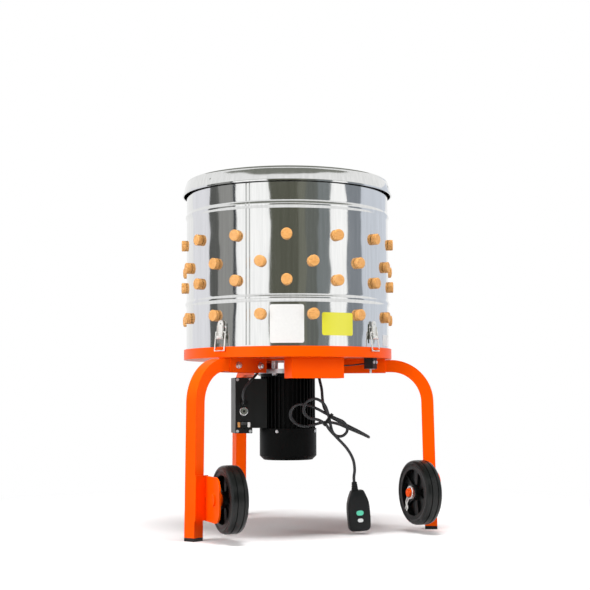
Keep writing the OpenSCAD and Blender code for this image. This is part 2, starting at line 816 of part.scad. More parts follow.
module cooling_fan() {
  blade_h = 20;
  color(BLACK) translate([0, 0, fan_z]) difference() {
    union() {
      cylinder(r = shaft_r + 6, h = blade_h);
      cylinder(r = body_in - 4, h = 2);
      for (k = [0 : 6]) rotate([0, 0, 360 / 7 * k]) translate([shaft_r + 4, -1, 1])
        cube([body_in - shaft_r - 10, 2, blade_h - 3]);
    }
    translate([0, 0, -cut]) cylinder(r = shaft_r + running, h = blade_h + 2 * cut);
  }
}

module motor_body() {
  fin_t = 2.6;
  wall = 4;
  end_t = bearing_h;
  color(BLACK) difference() {
    union() {
      translate([0, 0, motor_foot]) cylinder(r = body_in + wall, h = motor_len);
      translate([0, 0, motor_foot]) cylinder(r = motor_r, h = skirt_h);
      translate([0, 0, motor_top - 8]) cylinder(r = motor_r, h = 8);
      for (k = [0 : fin_count - 1]) rotate([0, 0, 360 / fin_count * (k + 0.5)])
        translate([body_in, -fin_t / 2, motor_foot]) cube([motor_r - body_in - 0.5, fin_t, motor_len]);
    }
    translate([0, 0, motor_foot + end_t]) cylinder(r = body_in, h = motor_len);
    translate([0, 0, motor_foot - cut]) cylinder(r = bearing_r, h = end_t + 2 * cut);
    at_fan_screws() bar_x(screw_d, 8);
  }
}

module motor_flange() {
  color(STEEL) difference() {
    translate([0, 0, motor_top]) cylinder(r = flange_r, h = flange_t);
    translate([0, 0, motor_top - cut]) cylinder(r = bearing_r, h = bearing_h + cut);
    translate([0, 0, motor_top]) cylinder(r = shaft_r + 3, h = flange_t + cut);
    at_motor_bolts() translate([0, 0, motor_top - cut])
      cylinder(d = bolt_d + 2 * loose, h = flange_t + 2 * cut);
  }
}

module stator() {
  color([0.6, 0.35, 0.2]) translate([0, 0, core_z]) difference() {
    cylinder(r = body_in, h = core_len);
    translate([0, 0, -cut]) cylinder(r = core_r + 1, h = core_len + 2 * cut);
  }
}

module motor_bearings() {
  color(STEEL) for (z = [motor_foot, motor_top]) translate([0, 0, z]) difference() {
    cylinder(r = bearing_r, h = bearing_h);
    translate([0, 0, -cut]) cylinder(r = shaft_r + running, h = bearing_h + 2 * cut);
  }
}

// The fan cover: a cup with a chamfered floor and a ring of air slots, screwed to the body's skirt
cover_wall = 2;
cover_r = motor_r + air + cover_wall;
cover_foot = motor_foot - fan_cover_len;
screw_d = 4;

module at_fan_screws() {
  for (k = [0 : 3]) rotate([0, 0, 45 + 90 * k])
    translate([motor_r - 6, 0, motor_foot + skirt_h / 2]) children();
}

module fan_cover() {
  chamfer = 10;
  cover_len = fan_cover_len + skirt_h;
  slot_count = 16;
  slot_in = 24;
  slot_w = 5;
  color(BLACK) difference() {
    translate([0, 0, cover_foot]) rotate_extrude()
      polygon([[0, 0], [cover_r - chamfer, 0], [cover_r, chamfer], [cover_r, cover_len],
        [cover_r - cover_wall, cover_len], [cover_r - cover_wall, chamfer + 1],
        [cover_r - chamfer - 1, cover_wall], [0, cover_wall]]);
    for (k = [0 : slot_count - 1]) rotate([0, 0, 360 / slot_count * k])
      translate([slot_in, -slot_w / 2, cover_foot - cut])
        cube([cover_r - chamfer - 9 - slot_in, slot_w, cover_wall + 2 * cut]);
    at_fan_screws() bar_x(screw_d + 2 * loose, 20);
  }
}

// Standoff bolts: head on the base floor, spacer under the mount plate, nut under the flange
module motor_bolts() {
  head = bolt_d * 0.6;
  color(ZINC) at_motor_bolts() {
    translate([0, 0, motor_top - head]) cylinder(d = bolt_d, h = floor_top - motor_top + 2 * head);
    translate([0, 0, floor_top]) cylinder(d = bolt_d * 1.7, h = head, $fn = 6);
    translate([0, 0, motor_top - head]) cylinder(d = bolt_d * 1.6, h = head, $fn = 6);
    translate([0, 0, flange_top]) cylinder(d = bolt_d * 1.75, h = standoff);
  }
}

// The switch box stands off the motor's side, in a frame of its own: +X away from the motor,
// +Y out of the front panel
BOX_TURN = 167;
box_z = motor_foot + 3;
box_in = box_reach - box_w;
panel_x = box_reach - box_w / 2;
panel_face = box_d / 2 + panel_t;
gland_z = box_z + 74;
button_z = box_z + 54;
rocker_z = box_z + 21;
rocker_out = panel_face - 3;
rocker_swing = 9.8;
lead_d = 6;

module at_box() {
  rotate([0, 0, BOX_TURN]) children();
}

module at_panel_screws() {
  inset = 5;
  for (sx = SIDES, sz = [0, 1]) translate([panel_x + sx * (box_w / 2 - inset), panel_face,
    box_z + inset + sz * (box_h - 2 * inset)]) rotate([90, 0, 0]) children();
}

module switch_box() {
  saddle_d = 72;
  saddle_h = box_h - skirt_h - 1;
  saddle_z = box_z + box_h - saddle_h - box_wall;
  post = 10;
  post_len = 20;
  color(BLACK) at_box() difference() {
    union() {
      difference() {
        translate([box_in, -box_d / 2, box_z]) cube([box_w, box_d, box_h]);
        translate([box_in + box_wall, -box_d / 2 + box_wall, box_z + box_wall])
          cube([box_w - 2 * box_wall, box_d, box_h - 2 * box_wall]);
      }
      for (sx = SIDES, sz = [0, 1]) translate([panel_x + sx * (box_w - post) / 2 - post / 2,
        box_d / 2 - post_len, box_z + sz * (box_h - post)]) cube([post, post_len, post]);
      translate([body_in, -saddle_d / 2, saddle_z]) cube([box_in - body_in, saddle_d, saddle_h]);
    }
    cylinder(r = motor_r, h = base_z);
    translate([body_in - cut, box_wall - saddle_d / 2, saddle_z + box_wall])
      cube([box_in + box_wall - body_in + 2 * cut, saddle_d - 2 * box_wall, saddle_h - 2 * box_wall]);
    at_panel_screws() translate([0, 0, -cut]) cylinder(d = screw_d, h = 16);
  }
}

module switch_panel() {
  color(BLACK) at_box() difference() {
    union() {
      translate([panel_x - box_w / 2, box_d / 2, box_z]) cube([box_w, panel_t, box_h]);
      translate([panel_x, panel_face, button_z]) rotate([-90, 0, 0]) cylinder(d = button_d + 7, h = 2.5);
    }
    translate([panel_x, panel_face, button_z]) bar_y(button_d + 2 * running, 20);
    translate([panel_x, panel_face, gland_z]) bar_y(lead_d + 2 * loose, 20);
    translate([panel_x - rocker_w / 2 - air, box_d / 2 - cut, rocker_z - rocker_swing])
      cube([rocker_w + 2 * air, panel_t + 2 * cut, 2 * rocker_swing]);
    at_panel_screws() translate([0, 0, -cut]) cylinder(d = screw_d + 2 * loose, h = panel_t + 2 * cut);
  }
}

module push_button() {
  stem = 12;
  stand = 4.5;
  color(STEEL) at_box() translate([panel_x, 0, button_z]) rotate([-90, 0, 0]) {
    translate([0, 0, panel_face - stem]) cylinder(d = button_d, h = stem + stand);
    translate([0, 0, panel_face - panel_t - air - 3]) cylinder(d = button_d + 4, h = 3);
  }
}

// A saddle-backed rocker on a pin through its middle, resting with its lower end in
module rocker() {
  dip = 3;
  crest = rocker_h * 0.24;
  half = rocker_h / 2;
  color(ORANGE) at_box() translate([panel_x - rocker_w / 2, rocker_out, rocker_z]) rotate([-8, 0, 0])
    rotate([90, 0, 90]) linear_extrude(rocker_w)
      polygon([[-6, -half * 0.6], [2, -half * 0.94], [crest, -half * 0.84], [dip, 0],
        [crest, half * 0.84], [2, half * 0.94], [-6, half * 0.6]]);
}

module box_gland() {
  color(BLACK) at_box() translate([panel_x, panel_face, gland_z]) rotate([-90, 0, 0]) difference() {
    union() {
      cylinder(d = lead_d * 3.2, h = 5, $fn = 6);
      cylinder(d = lead_d * 2.4, h = 14);
      translate([0, 0, 14]) cylinder(d1 = lead_d * 2.4, d2 = lead_d * 1.6, h = 4);
    }
    translate([0, 0, -cut]) cylinder(d = lead_d + 2 * loose, h = 20);
  }
}

// The motor's run capacitor, clipped in the box's back corner
module run_capacitor() {
  can_d = 32;
  color("silver") at_box() translate([panel_x, -box_d / 2 + box_wall + can_d / 2, box_z + box_wall])
    cylinder(d = can_d, h = 90);
}

// The interlock switch under the base's edge, with a sprung plunger that points down
INTERLOCK_TURN = -53.5;
interlock_w = 22;
interlock_h = 26;
interlock_in = 222;
interlock_d = 24;
plunger_d = 6;
plunger_travel = 3;

module at_interlock() {
  rotate([0, 0, INTERLOCK_TURN]) translate([interlock_in, 0, base_z - interlock_h]) children();
}

module interlock_switch() {
  color(BLACK) at_interlock() difference() {
    translate([0, -interlock_w / 2, 0]) cube([interlock_d, interlock_w, interlock_h]);
    translate([interlock_d / 2, 0, -cut]) cylinder(d = plunger_d + 2 * running, h = 14 + cut);
    at_interlock_screws() translate([0, 0, -8]) cylinder(d = screw_d, h = 9);
  }
}

module at_interlock_screws() {
  for (side = SIDES) translate([interlock_d, side * interlock_w * 0.3, interlock_h * 0.6])
    rotate([0, 90, 0]) children();
}

module interlock_plunger() {
  color(ZINC) at_interlock() translate([interlock_d / 2, 0, -8]) {
    cylinder(d = plunger_d, h = 18);
    sphere(d = plunger_d);
  }
}

// Pan head screws: in the fan cover's skirt, the switch panel's corners and the interlock switch
module pan_screw(grip) {
  cylinder(d = screw_d * 1.9, h = 2);
  translate([0, 0, -grip]) cylinder(d = screw_d - 2 * loose, h = grip + 1);
}

module small_screws() {
  color(ZINC) {
    at_fan_screws() translate([cover_r + 0.05 - motor_r + 6, 0, 0]) rotate([0, 90, 0]) pan_screw(7);
    at_box() at_panel_screws() rotate([180, 0, 0]) pan_screw(12);
    at_interlock() at_interlock_screws() pan_screw(7);
  }
}

// Cords: each is a tube swept along a smooth curve through points chosen by hand
CORD_SIDES = 8;

function unit(v) = v / norm(v);
function blend_point(a, b, c, d, t) = 0.5 * (2 * b + (c - a) * t + (2 * a - 5 * b + 4 * c - d) * t * t
  + (3 * b - a - 3 * c + d) * t * t * t);

// Points of a smooth curve through a route, with so many steps from point to point
function curve(route, steps) =
  let (last = len(route) - 1, first_end = 2 * route[0] - route[1],
    last_end = 2 * route[last] - route[last - 1])
  concat([for (i = [0 : last - 1], k = [0 : steps - 1]) blend_point(i == 0 ? first_end : route[i - 1],
    route[i], route[i + 1], i == last - 1 ? last_end : route[i + 2], k / steps)], [route[last]]);

function tangents(path) = let (last = len(path) - 1)
  [for (i = [0 : last]) unit(path[min(i + 1, last)] - path[max(i - 1, 0)])];

// Side directions carried along the curve without twist
function carried(ways) = [for (i = 0, side = unit(cross(ways[0], [0.3, 1, 0.2])); i < len(ways);
  i = i + 1, side = i < len(ways) ? unit(side - (side * ways[i]) * ways[i]) : side) side];

function tube_points(path, d) = let (ways = tangents(path), sides = carried(ways))
  [for (i = [0 : len(path) - 1], k = [0 : CORD_SIDES - 1]) let (a = 360 * k / CORD_SIDES)
    path[i] + d / 2 * (cos(a) * sides[i] + sin(a) * cross(ways[i], sides[i]))];

function tube_skin(rings) = [for (i = [0 : rings - 2], k = [0 : CORD_SIDES - 1], half = [0, 1])
  let (a = i * CORD_SIDES + k, b = i * CORD_SIDES + (k + 1) % CORD_SIDES)
    half == 0 ? [a, a + CORD_SIDES, b] : [b, a + CORD_SIDES, b + CORD_SIDES]];

function tube_ends(rings) = concat([for (k = [1 : CORD_SIDES - 2]) [0, k, k + 1]],
  [for (k = [1 : CORD_SIDES - 2]) let (e = (rings - 1) * CORD_SIDES) [e, e + k + 1, e + k]]);

module swept_tube(path, d) {
  polyhedron(tube_points(path, d), concat(tube_skin(len(path)), tube_ends(len(path))), convexity = 10);
}

// The least distance between stretches of a curve that lie at least apart points from each other
function least_gap(path, apart) = let (last = len(path) - 1)
  min([for (i = [0 : last - apart], j = [i + apart : last]) norm(path[i] - path[j])]);

// The cord hangs in a frame turned towards the front corner: [right, front, up]
module in_view() {
  rotate([0, 0, VIEW_TURN + 90]) children();
}

function view_point(p) = [p[0], -p[1], p[2]];

// The plug hangs by the cord, a little turned and tilted
PLUG_FOOT = [170, 160, 8];
plug_turn = 11;
plug_tilt = -4;
relief_x = -4.5;
relief_h = 20;

module in_plug() {
  in_view() translate(view_point(PLUG_FOOT)) rotate([0, 0, plug_turn]) rotate([0, plug_tilt, 0])
    children();
}

// A point up the middle of the plug's strain relief, in the cord's frame
function relief_point(up) = let (across = relief_x * cos(plug_tilt) + up * sin(plug_tilt))
  [PLUG_FOOT[0] + across * cos(plug_turn), PLUG_FOOT[1] - across * sin(plug_turn),
    PLUG_FOOT[2] - relief_x * sin(plug_tilt) + up * cos(plug_tilt)];

// The grommet under the base floor, where the cord comes out: a round foot and a tapered sleeve
GROMMET = [76, 88];
grommet_r = 12;
grommet_drop = 22;
grommet_foot = base_z - grommet_drop;
sleeve_depth = 12;

module at_grommet() {
  in_view() translate([GROMMET[0], -GROMMET[1], 0]) children();
}

module cord_grommet() {
  color(BLACK) at_grommet() difference() {
    union() {
      translate([0, 0, grommet_foot]) cylinder(d1 = cord_d + 4, d2 = cord_d + 8, h = grommet_drop);
      translate([0, 0, base_z - 3]) cylinder(r = grommet_r, h = 3);
    }
    translate([0, 0, grommet_foot - cut]) cylinder(d = cord_d + 4 * loose, h = sleeve_depth + cut);
  }
}

// Route of the cord: down from the grommet, out and back along the long loop, round the low left
// loop, the small right loop and the high left loop, then down to the plug
CORD_ROUTE = concat(
  [[GROMMET[0], GROMMET[1], grommet_foot + 9], [GROMMET[0], GROMMET[1], grommet_foot - 6]],
  [[78, 92, 368], [83, 100, 344], [85, 112, 317], [89, 125, 297], [101, 135, 279]],
  [[121, 139, 267], [147, 140, 254], [174, 138, 240], [190, 131, 231], [196, 116, 227], [190, 101, 230],
    [174, 94, 237], [148, 97, 248], [125, 111, 258], [104, 124, 263]],
  [[85, 130, 263], [63, 132, 258], [40, 133, 254], [19, 134, 261], [7, 135, 278], [10, 137, 296],
    [26, 139, 306], [47, 141, 305], [71, 144, 296], [95, 147, 283]],
  [[116, 149, 273], [133, 149, 265], [142, 150, 253], [141, 151, 240], [130, 152, 231], [116, 153, 232],
    [107, 154, 242], [103, 155, 256]],
  [[100, 156, 271], [96, 157, 287], [90, 158, 303], [79, 159, 315], [65, 159, 320], [49, 159, 315],
    [39, 160, 300], [41, 160, 284], [54, 161, 274], [73, 162, 270]],
  [[90, 163, 260], [102, 163, 244], [119, 163, 226], [141, 162, 202], [155, 161, 177], [159, 161, 153]],
  [relief_point(plug_h + relief_h + 10), relief_point(plug_h + relief_h - 10)]);

module power_cord() {
  fine = curve(CORD_ROUTE, 6);
  echo("least gap of the cord to itself in mm", least_gap(fine, 14) - cord_d);
  color(BLACK) in_view() swept_tube([for (p = curve(CORD_ROUTE, 2)) view_point(p)], cord_d);
}

// A loose strap round the waist of the hank
module cord_tie() {
  tie_at = [97, 145, 270];
  tie_w = 44;
  tie_h = 32.4;
  tie_t = 1.4;
  tie_len = 6;
  color(BLACK) in_view() translate(view_point(tie_at)) rotate([0, 126.9, 0]) rotate([0, 0, 90])
    translate([0, 0, -tie_len / 2]) difference() {
      rounded_plate(tie_w + 2 * tie_t, tie_h + 2 * tie_t, tie_len, 6);
      translate([0, 0, -cut]) rounded_plate(tie_w, tie_h, tie_len + 2 * cut, 5);
    }
}

// The plug: a flat moulded body with a strain relief, two buttons in front and three blades behind
module slot_prism(w, h, len) {
  rotate([90, 0, 0]) translate([0, 0, -len]) linear_extrude(len) {
    square([w - h, h], center = true);
    for (side = SIDES) translate([side * (w - h) / 2, 0]) circle(d = h);
  }
}

test_button = [17, 11.5];
reset_button = [13, 8.5];
test_z = plug_h * 0.45;
reset_z = plug_h * 0.27;
pocket = 7;
press = 1.2;
button_stand = 2;

module plug_outline() {
  half = plug_w / 2;
  corner = 8;
  translate([0, plug_h * 0.4]) square([plug_w, plug_h * 0.5], center = true);
  polygon([[-half, plug_h * 0.65], [half, plug_h * 0.65], [half * 0.58, plug_h], [-half * 0.58, plug_h]]);
  polygon([[-half, plug_h * 0.2], [half, plug_h * 0.2], [half - 2, corner], [corner - half + 2, corner],
    [2 - half, corner]]);
  translate([corner - half + 2, 0]) square([plug_w - 2 * corner - 4, corner + 0.1]);
  for (side = SIDES) translate([side * (half - corner - 2), corner]) circle(corner);
}

module plug_body() {
  color([0.22, 0.24, 0.24]) in_plug() difference() {
    union() {
      rotate([90, 0, 0]) translate([0, 0, -plug_t / 2]) linear_extrude(plug_t) plug_outline();
      translate([relief_x, 0, plug_h - 1]) cylinder(d1 = cord_d + 10, d2 = cord_d + 6, h = relief_h + 1);
    }
    translate([0, -plug_t / 2 - cut, test_z])
      slot_prism(test_button[0] + 2 * air, test_button[1] + 2 * air, pocket + cut);
    translate([0, -plug_t / 2 - cut, reset_z])
      slot_prism(reset_button[0] + 2 * air, reset_button[1] + 2 * air, pocket + cut);
    translate([relief_x, 0, plug_h + relief_h - sleeve_depth])
      cylinder(d = cord_d + 4 * loose, h = sleeve_depth + cut);
  }
}

module plug_test_button() {
  color([0.3, 0.75, 0.6]) in_plug() translate([0, -plug_t / 2 - button_stand, test_z])
    slot_prism(test_button[0], test_button[1], pocket + button_stand - press - air);
}

module plug_reset_button() {
  color("white") in_plug() translate([0, -plug_t / 2 - button_stand, reset_z])
    slot_prism(reset_button[0], reset_button[1], pocket + button_stand - press - air);
}

module plug_blades() {
  blade_len = 17;
  blade_gap = 12.7;
  blade_z = plug_h * 0.42;
  blade = [1.5, blade_len, 6.3];
  pin_drop = 9;
  color(ZINC) in_plug() {
    for (side = SIDES) translate([(side * blade_gap - blade[0]) / 2, plug_t / 2, blade_z]) cube(blade);
    translate([0, plug_t / 2, blade_z - pin_drop]) rotate([-90, 0, 0])
      cylinder(d = 4.8, h = blade_len + 3);
  }
}

// Leads that the machine holds: from the box's gland up to the mount plate, and from the interlock
GLAND_LEAD = [[panel_x, panel_face + 8, gland_z], [panel_x, panel_face + 21, gland_z + 1], [117, 77, 316],
  [114, 83, 328], [109, 83, 344], [101, 77, 360], [91, 67, 373], [83, 59, 386], [78, 54, 398],
  [76.5, 52.5, 406], [76.5, 52.5, base_z - mount_t - air]];
INTERLOCK_LEAD = [[131.8, -178.1, 405], [124, -167, 404], [110, -156, 402], [92, -147, 401],
  [74, -136, 401], [60, -118, 401], [50, -98, 402], [45.5, -87, 405], [45, -85, 409],
  [45, -85, base_z - mount_t - air]];

module held_leads() {
  color("gray") at_box() swept_tube(curve(GLAND_LEAD, 3), lead_d);
  color("gray") swept_tube(curve(INTERLOCK_LEAD, 3), 3.5);
}

placed() base_ring();
placed() mount_plate();
placed() chute();
placed() leg_left();
placed() leg_right();
placed() leg_tail();
placed() foot_caps();
placed() leg_channels();
placed() leg_bolts();
placed() wheel_plates();
placed() stub_axles();
placed() wheel_keepers();
placed() tyre_left();
placed() wheel_hub_left();
placed() tyre_right();
placed() wheel_hub_right();
placed() drum_shell();
placed() rim_hoop();
placed() drum_rivets();
placed() drum_fingers();
placed() drum_labels();
placed() latch_bases();
placed() latch_lever(LATCH_TURNS[0]);  // latch_lever_1
placed() latch_lever(LATCH_TURNS[1]);  // latch_lever_2
placed() latch_lever(LATCH_TURNS[2]);  // latch_lever_3
placed() latch_lever(LATCH_TURNS[3]);  // latch_lever_4
placed() latch_bail(LATCH_TURNS[0]);  // latch_bail_1
placed() latch_bail(LATCH_TURNS[1]);  // latch_bail_2
placed() latch_bail(LATCH_TURNS[2]);  // latch_bail_3
placed() latch_bail(LATCH_TURNS[3]);  // latch_bail_4
placed() finger_plate();
placed() plate_fingers();
placed() plate_hub();
placed() drive_shaft();
placed() rotor_core();
placed() cooling_fan();
placed() motor_body();
placed() motor_flange();
placed() stator();
placed() motor_bearings();
placed() fan_cover();
placed() motor_bolts();
placed() switch_box();
placed() switch_panel();
placed() small_screws();
placed() push_button();
placed() rocker();
placed() box_gland();
placed() run_capacitor();
placed() held_leads();
placed() interlock_switch();
placed() interlock_plunger();
placed() cord_grommet();
placed() power_cord();
placed() cord_tie();
placed() plug_body();
placed() plug_blades();
placed() plug_test_button();
placed() plug_reset_button();
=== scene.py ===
import math

import bmesh
import bpy
from mathutils import Matrix, Quaternion, Vector


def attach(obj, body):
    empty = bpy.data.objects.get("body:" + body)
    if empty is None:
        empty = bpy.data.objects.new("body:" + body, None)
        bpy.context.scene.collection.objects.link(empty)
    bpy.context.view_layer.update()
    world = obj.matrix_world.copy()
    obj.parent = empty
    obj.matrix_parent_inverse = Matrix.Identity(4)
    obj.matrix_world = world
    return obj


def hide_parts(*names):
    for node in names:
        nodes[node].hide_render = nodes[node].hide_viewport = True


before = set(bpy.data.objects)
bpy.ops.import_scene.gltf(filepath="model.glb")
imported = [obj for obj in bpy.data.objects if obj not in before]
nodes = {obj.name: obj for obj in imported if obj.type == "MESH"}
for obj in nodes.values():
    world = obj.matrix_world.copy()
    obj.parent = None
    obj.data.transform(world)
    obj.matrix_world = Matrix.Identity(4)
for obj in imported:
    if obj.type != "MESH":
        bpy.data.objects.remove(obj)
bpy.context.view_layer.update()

# The machine stands on three feet, with the drum's axis a little in front of the middle of its footprint.
scene = bpy.context.scene
AXIS_Y = -0.027
VIEW_TURN = math.radians(-113)


# The camera stands low and level with the motor, in front of the machine's left front corner.
# It looks slightly up, and the photograph leans by a quarter of a degree.
CAMERA_FAR = 3.08
CAMERA_HIGH = 0.322
CAMERA_ASIDE = 0.019
CAMERA_PITCH = math.radians(4.84)
CAMERA_ROLL = math.radians(0.25)
LENS_PX = 1217
FRAME_PX = 590
SENSOR_MM = 36


def linked(name, data):
    """A new object of this data, put in the scene."""
    piece = bpy.data.objects.new(name, data)
    scene.collection.objects.link(piece)
    return piece


ahead = Vector((-math.cos(VIEW_TURN), -math.sin(VIEW_TURN), 0))
aside = Vector((ahead.y, -ahead.x, 0))
camera = linked("camera", bpy.data.cameras.new("camera"))
camera.data.sensor_width = SENSOR_MM
camera.data.lens = SENSOR_MM * LENS_PX / FRAME_PX
gaze = ahead * math.cos(CAMERA_PITCH) + Vector((0, 0, math.sin(CAMERA_PITCH)))
camera.location = Vector((0, AXIS_Y, CAMERA_HIGH)) - ahead * CAMERA_FAR + aside * CAMERA_ASIDE
camera.rotation_mode = "QUATERNION"
camera.rotation_quaternion = Quaternion(gaze, CAMERA_ROLL) @ gaze.to_track_quat("-Z", "Y")
scene.camera = camera
scene.view_settings.view_transform = "Standard"


# A white studio: a pale floor that keeps the shadow, a white world behind, soft lamps at the sides, in
# front and above, and tall dark and white cards that only a bright surface mirrors.
def hexed(code):
    """An sRGB hex colour as the linear colour that a shader takes."""
    parts = [int(code[i:i + 2], 16) / 255 for i in (1, 3, 5)]
    return [p / 12.92 if p <= 0.04045 else ((p + 0.055) / 1.055) ** 2.4 for p in parts] + [1.0]


def result(node):
    """A node's own result, which is the first output that it has in use."""
    return next(socket for socket in node.outputs if socket.enabled)


def add(tree, kind, inputs=None, feeds=None, **settings):
    """Adds one node; an input takes a value, a socket or a node, and the result may feed a socket."""
    node = tree.nodes.new(kind)
    for name, value in settings.items():
        setattr(node, name, value)
    for name, value in (inputs or {}).items():
        if isinstance(value, bpy.types.Node):
            value = result(value)
        if isinstance(value, bpy.types.NodeSocket):
            tree.links.new(value, node.inputs[name])
        else:
            node.inputs[name].default_value = value
    if feeds is not None:
        tree.links.new(result(node), feeds)
    return node


def finish_material(name):
    """A new material with a Principled surface: it, its tree, that shader and the piece's coordinates."""
    material = bpy.data.materials.new(name)
    material.use_nodes = True
    tree = material.node_tree
    tree.nodes.clear()
    skin = add(tree, "ShaderNodeBsdfPrincipled")
    add(tree, "ShaderNodeOutputMaterial", {"Surface": skin})
    return material, tree, skin, add(tree, "ShaderNodeTexCoord").outputs["Object"]


def seen_or_mirrored(tree):
    """1 for light that the camera or a mirror sees, and 0 for light that only falls on something."""
    ray = add(tree, "ShaderNodeLightPath")
    return add(tree, "ShaderNodeMath", {0: ray.outputs["Is Camera Ray"], 1: ray.outputs["Is Glossy Ray"]},
               operation="MAXIMUM")


def full_turn(count):
    """The angles of so many even steps round a circle."""
    return [2 * math.pi * k / count for k in range(count)]


def round_axis(r, angle):
    """The x and y of a point at a distance from the machine's axis."""
    return r * math.cos(angle), AXIS_Y + r * math.sin(angle)


# A card glows a little more than its own grey, because polished steel gives back only part of it
MIRROR_LOSS = 1.35


def card(name, points, colour):
    """A flat stage card of one colour, seen only in reflections."""
    mesh = bpy.data.meshes.new(name)
    mesh.from_pydata(points, [], [list(range(len(points)))])
    piece = linked(name, mesh)
    material = bpy.data.materials.new(name)
    material.use_nodes = True
    material.node_tree.nodes.clear()
    glow = add(material.node_tree, "ShaderNodeEmission", {"Color": hexed(colour), "Strength": MIRROR_LOSS})
    add(material.node_tree, "ShaderNodeOutputMaterial", {"Surface": glow})
    mesh.materials.append(material)
    piece.visible_camera = False
    piece.visible_diffuse = False
    piece.visible_shadow = False


# The floor is pale paint that fades into the white behind, past the shadow. To light that has bounced off the
# object it is a darker grey, so that it throws less back up.
FLOOR_HALF = 12
FADE_FROM = 0.45
FADE_TO = 1.3
floor_mesh = bpy.data.meshes.new("studio_floor")
floor_mesh.from_pydata([(-FLOOR_HALF, -FLOOR_HALF, 0), (FLOOR_HALF, -FLOOR_HALF, 0),
                        (FLOOR_HALF, FLOOR_HALF, 0), (-FLOOR_HALF, FLOOR_HALF, 0)], [], [(0, 1, 2, 3)])
floor = linked("studio_floor", floor_mesh)
floor_paint, tree, skin, where = finish_material("studio_floor_paint")
skin.inputs["Roughness"].default_value = 0.85
skin.inputs["Specular IOR Level"].default_value = 0.1
away = add(tree, "ShaderNodeVectorMath", {0: where}, operation="LENGTH")
fade = add(tree, "ShaderNodeMapRange", {"Value": away.outputs["Value"], "From Min": FADE_FROM,
                                        "From Max": FADE_TO}, interpolation_type="SMOOTHSTEP")
direct = seen_or_mirrored(tree)
share = add(tree, "ShaderNodeMath", {0: fade, 1: direct}, operation="MULTIPLY")
add(tree, "ShaderNodeMix", {"Factor": direct, "A": hexed("#868686"), "B": hexed("#f4f4f4")},
    skin.inputs["Base Color"], data_type="RGBA")
glow = add(tree, "ShaderNodeEmission", {"Color": (1, 1, 1, 1), "Strength": 1.0})
add(tree, "ShaderNodeMixShader", {0: share, 1: skin, 2: glow},
    tree.nodes["Material Output"].inputs["Surface"])
floor_mesh.materials.append(floor_paint)

# The cards stand on arcs round the drum: from and to, in degrees right of the camera's side, and the grey
# that the steel shows
CARD_FAR = 3.5
CARD_TOP = 1.9
CARD_FOOT = 0.02
CARD_STEPS = 6
CARDS = [(-130, -93, "#d9d9de"), (-93, -80, "#555654"), (-80, -61, "#8a8a88"), (-61, -57, "#33363a"),
         (-57, -18, "#f4f4f4"), (-18, 12, "#55564c"), (12, 20, "#6c6d63"), (20, 33, "#60635f"),
         (33, 47, "#74797a"), (47, 68, "#f4f4f4"), (68, 89, "#7d8288"), (89, 150, "#c3c8d1")]
for number, (start, stop, colour) in enumerate(CARDS):
    turns = [VIEW_TURN + math.radians(start + (stop - start) * k / CARD_STEPS) for k in range(CARD_STEPS + 1)]
    feet = [round_axis(CARD_FAR, t) for t in turns]
    for k, (low, high) in enumerate(zip(feet, feet[1:])):
        card("studio_card_%d_%d" % (number, k), [(*low, CARD_FOOT), (*high, CARD_FOOT), (*high, CARD_TOP),
                                                 (*low, CARD_TOP)], colour)

# A round grey card overhead, which the top of the rim mirrors
CEILING_Z = 2.9
CEILING_R = 2.85
CEILING_SIDES = 32
ceiling_edge = [(*round_axis(CEILING_R, t), CEILING_Z) for t in full_turn(CEILING_SIDES)]
card("studio_ceiling", ceiling_edge, "#74766f")

# Four square soft lamps: one on each side, a weak one in front and a strong one above. Each has its degrees
# right of the camera's side, its distance, height and size in metres, and its watts.
LAMP_AIM_Z = 0.45
LAMPS = [("lamp_left", -48, 2.6, 0.95, 1.6, 57), ("lamp_right", 60, 2.8, 0.9, 1.6, 46),
         ("lamp_front", 0, 3.4, 0.8, 2.0, 24), ("lamp_top", 20, 0.2, 2.8, 1.2, 100)]
for name, turn, far, high, size, watts in LAMPS:
    lamp = linked(name, bpy.data.lights.new(name, "AREA"))
    lamp.data.shape = "SQUARE"
    lamp.data.size = size
    lamp.data.energy = watts
    lamp.location = (*round_axis(far, VIEW_TURN + math.radians(turn)), high)
    aim = Vector((0, AXIS_Y, LAMP_AIM_Z)) - lamp.location
    lamp.rotation_euler = aim.to_track_quat("-Z", "Y").to_euler()
    lamp.visible_glossy = False

# The world is white where it is seen or mirrored, and otherwise only fills the shade
SKY_FILL = 0.1
world = bpy.data.worlds.new("white_studio")
scene.world = world
world.use_nodes = True
tree = world.node_tree
tree.nodes.clear()
level = add(tree, "ShaderNodeMapRange", {"Value": seen_or_mirrored(tree), "To Min": SKY_FILL, "To Max": 1.0})
sky = add(tree, "ShaderNodeBackground", {"Color": (1, 1, 1, 1), "Strength": level})
add(tree, "ShaderNodeOutputWorld", {"Surface": sky})


# The power cord: black PVC sheath over three cores, 7 mm thick, seen from end to end in the photograph.
# It leaves a grommet under the base, is gathered in a loose hank by a strap, and ends in its plug.
CORD_D = 0.007
CORD_STEPS = 6

# In millimetres, in a frame about the drum's axis that faces the camera's side
GROMMET = (76, 88)
GROMMET_FOOT = 396
PLUG_FOOT = (170, 160, 8)
PLUG_TURN = math.radians(11)
PLUG_TILT = math.radians(-4)
PLUG_H = 96
RELIEF_X = -4.5
RELIEF_H = 20


def view_point(right, front, up):
    """A point in the machine's frame, in metres, from one in the cord's frame, in millimetres."""
    turned = Matrix.Rotation(VIEW_TURN + math.pi / 2, 3, "Z") @ Vector((right, -front, up))
    return turned / 1000 + Vector((0, AXIS_Y, 0))


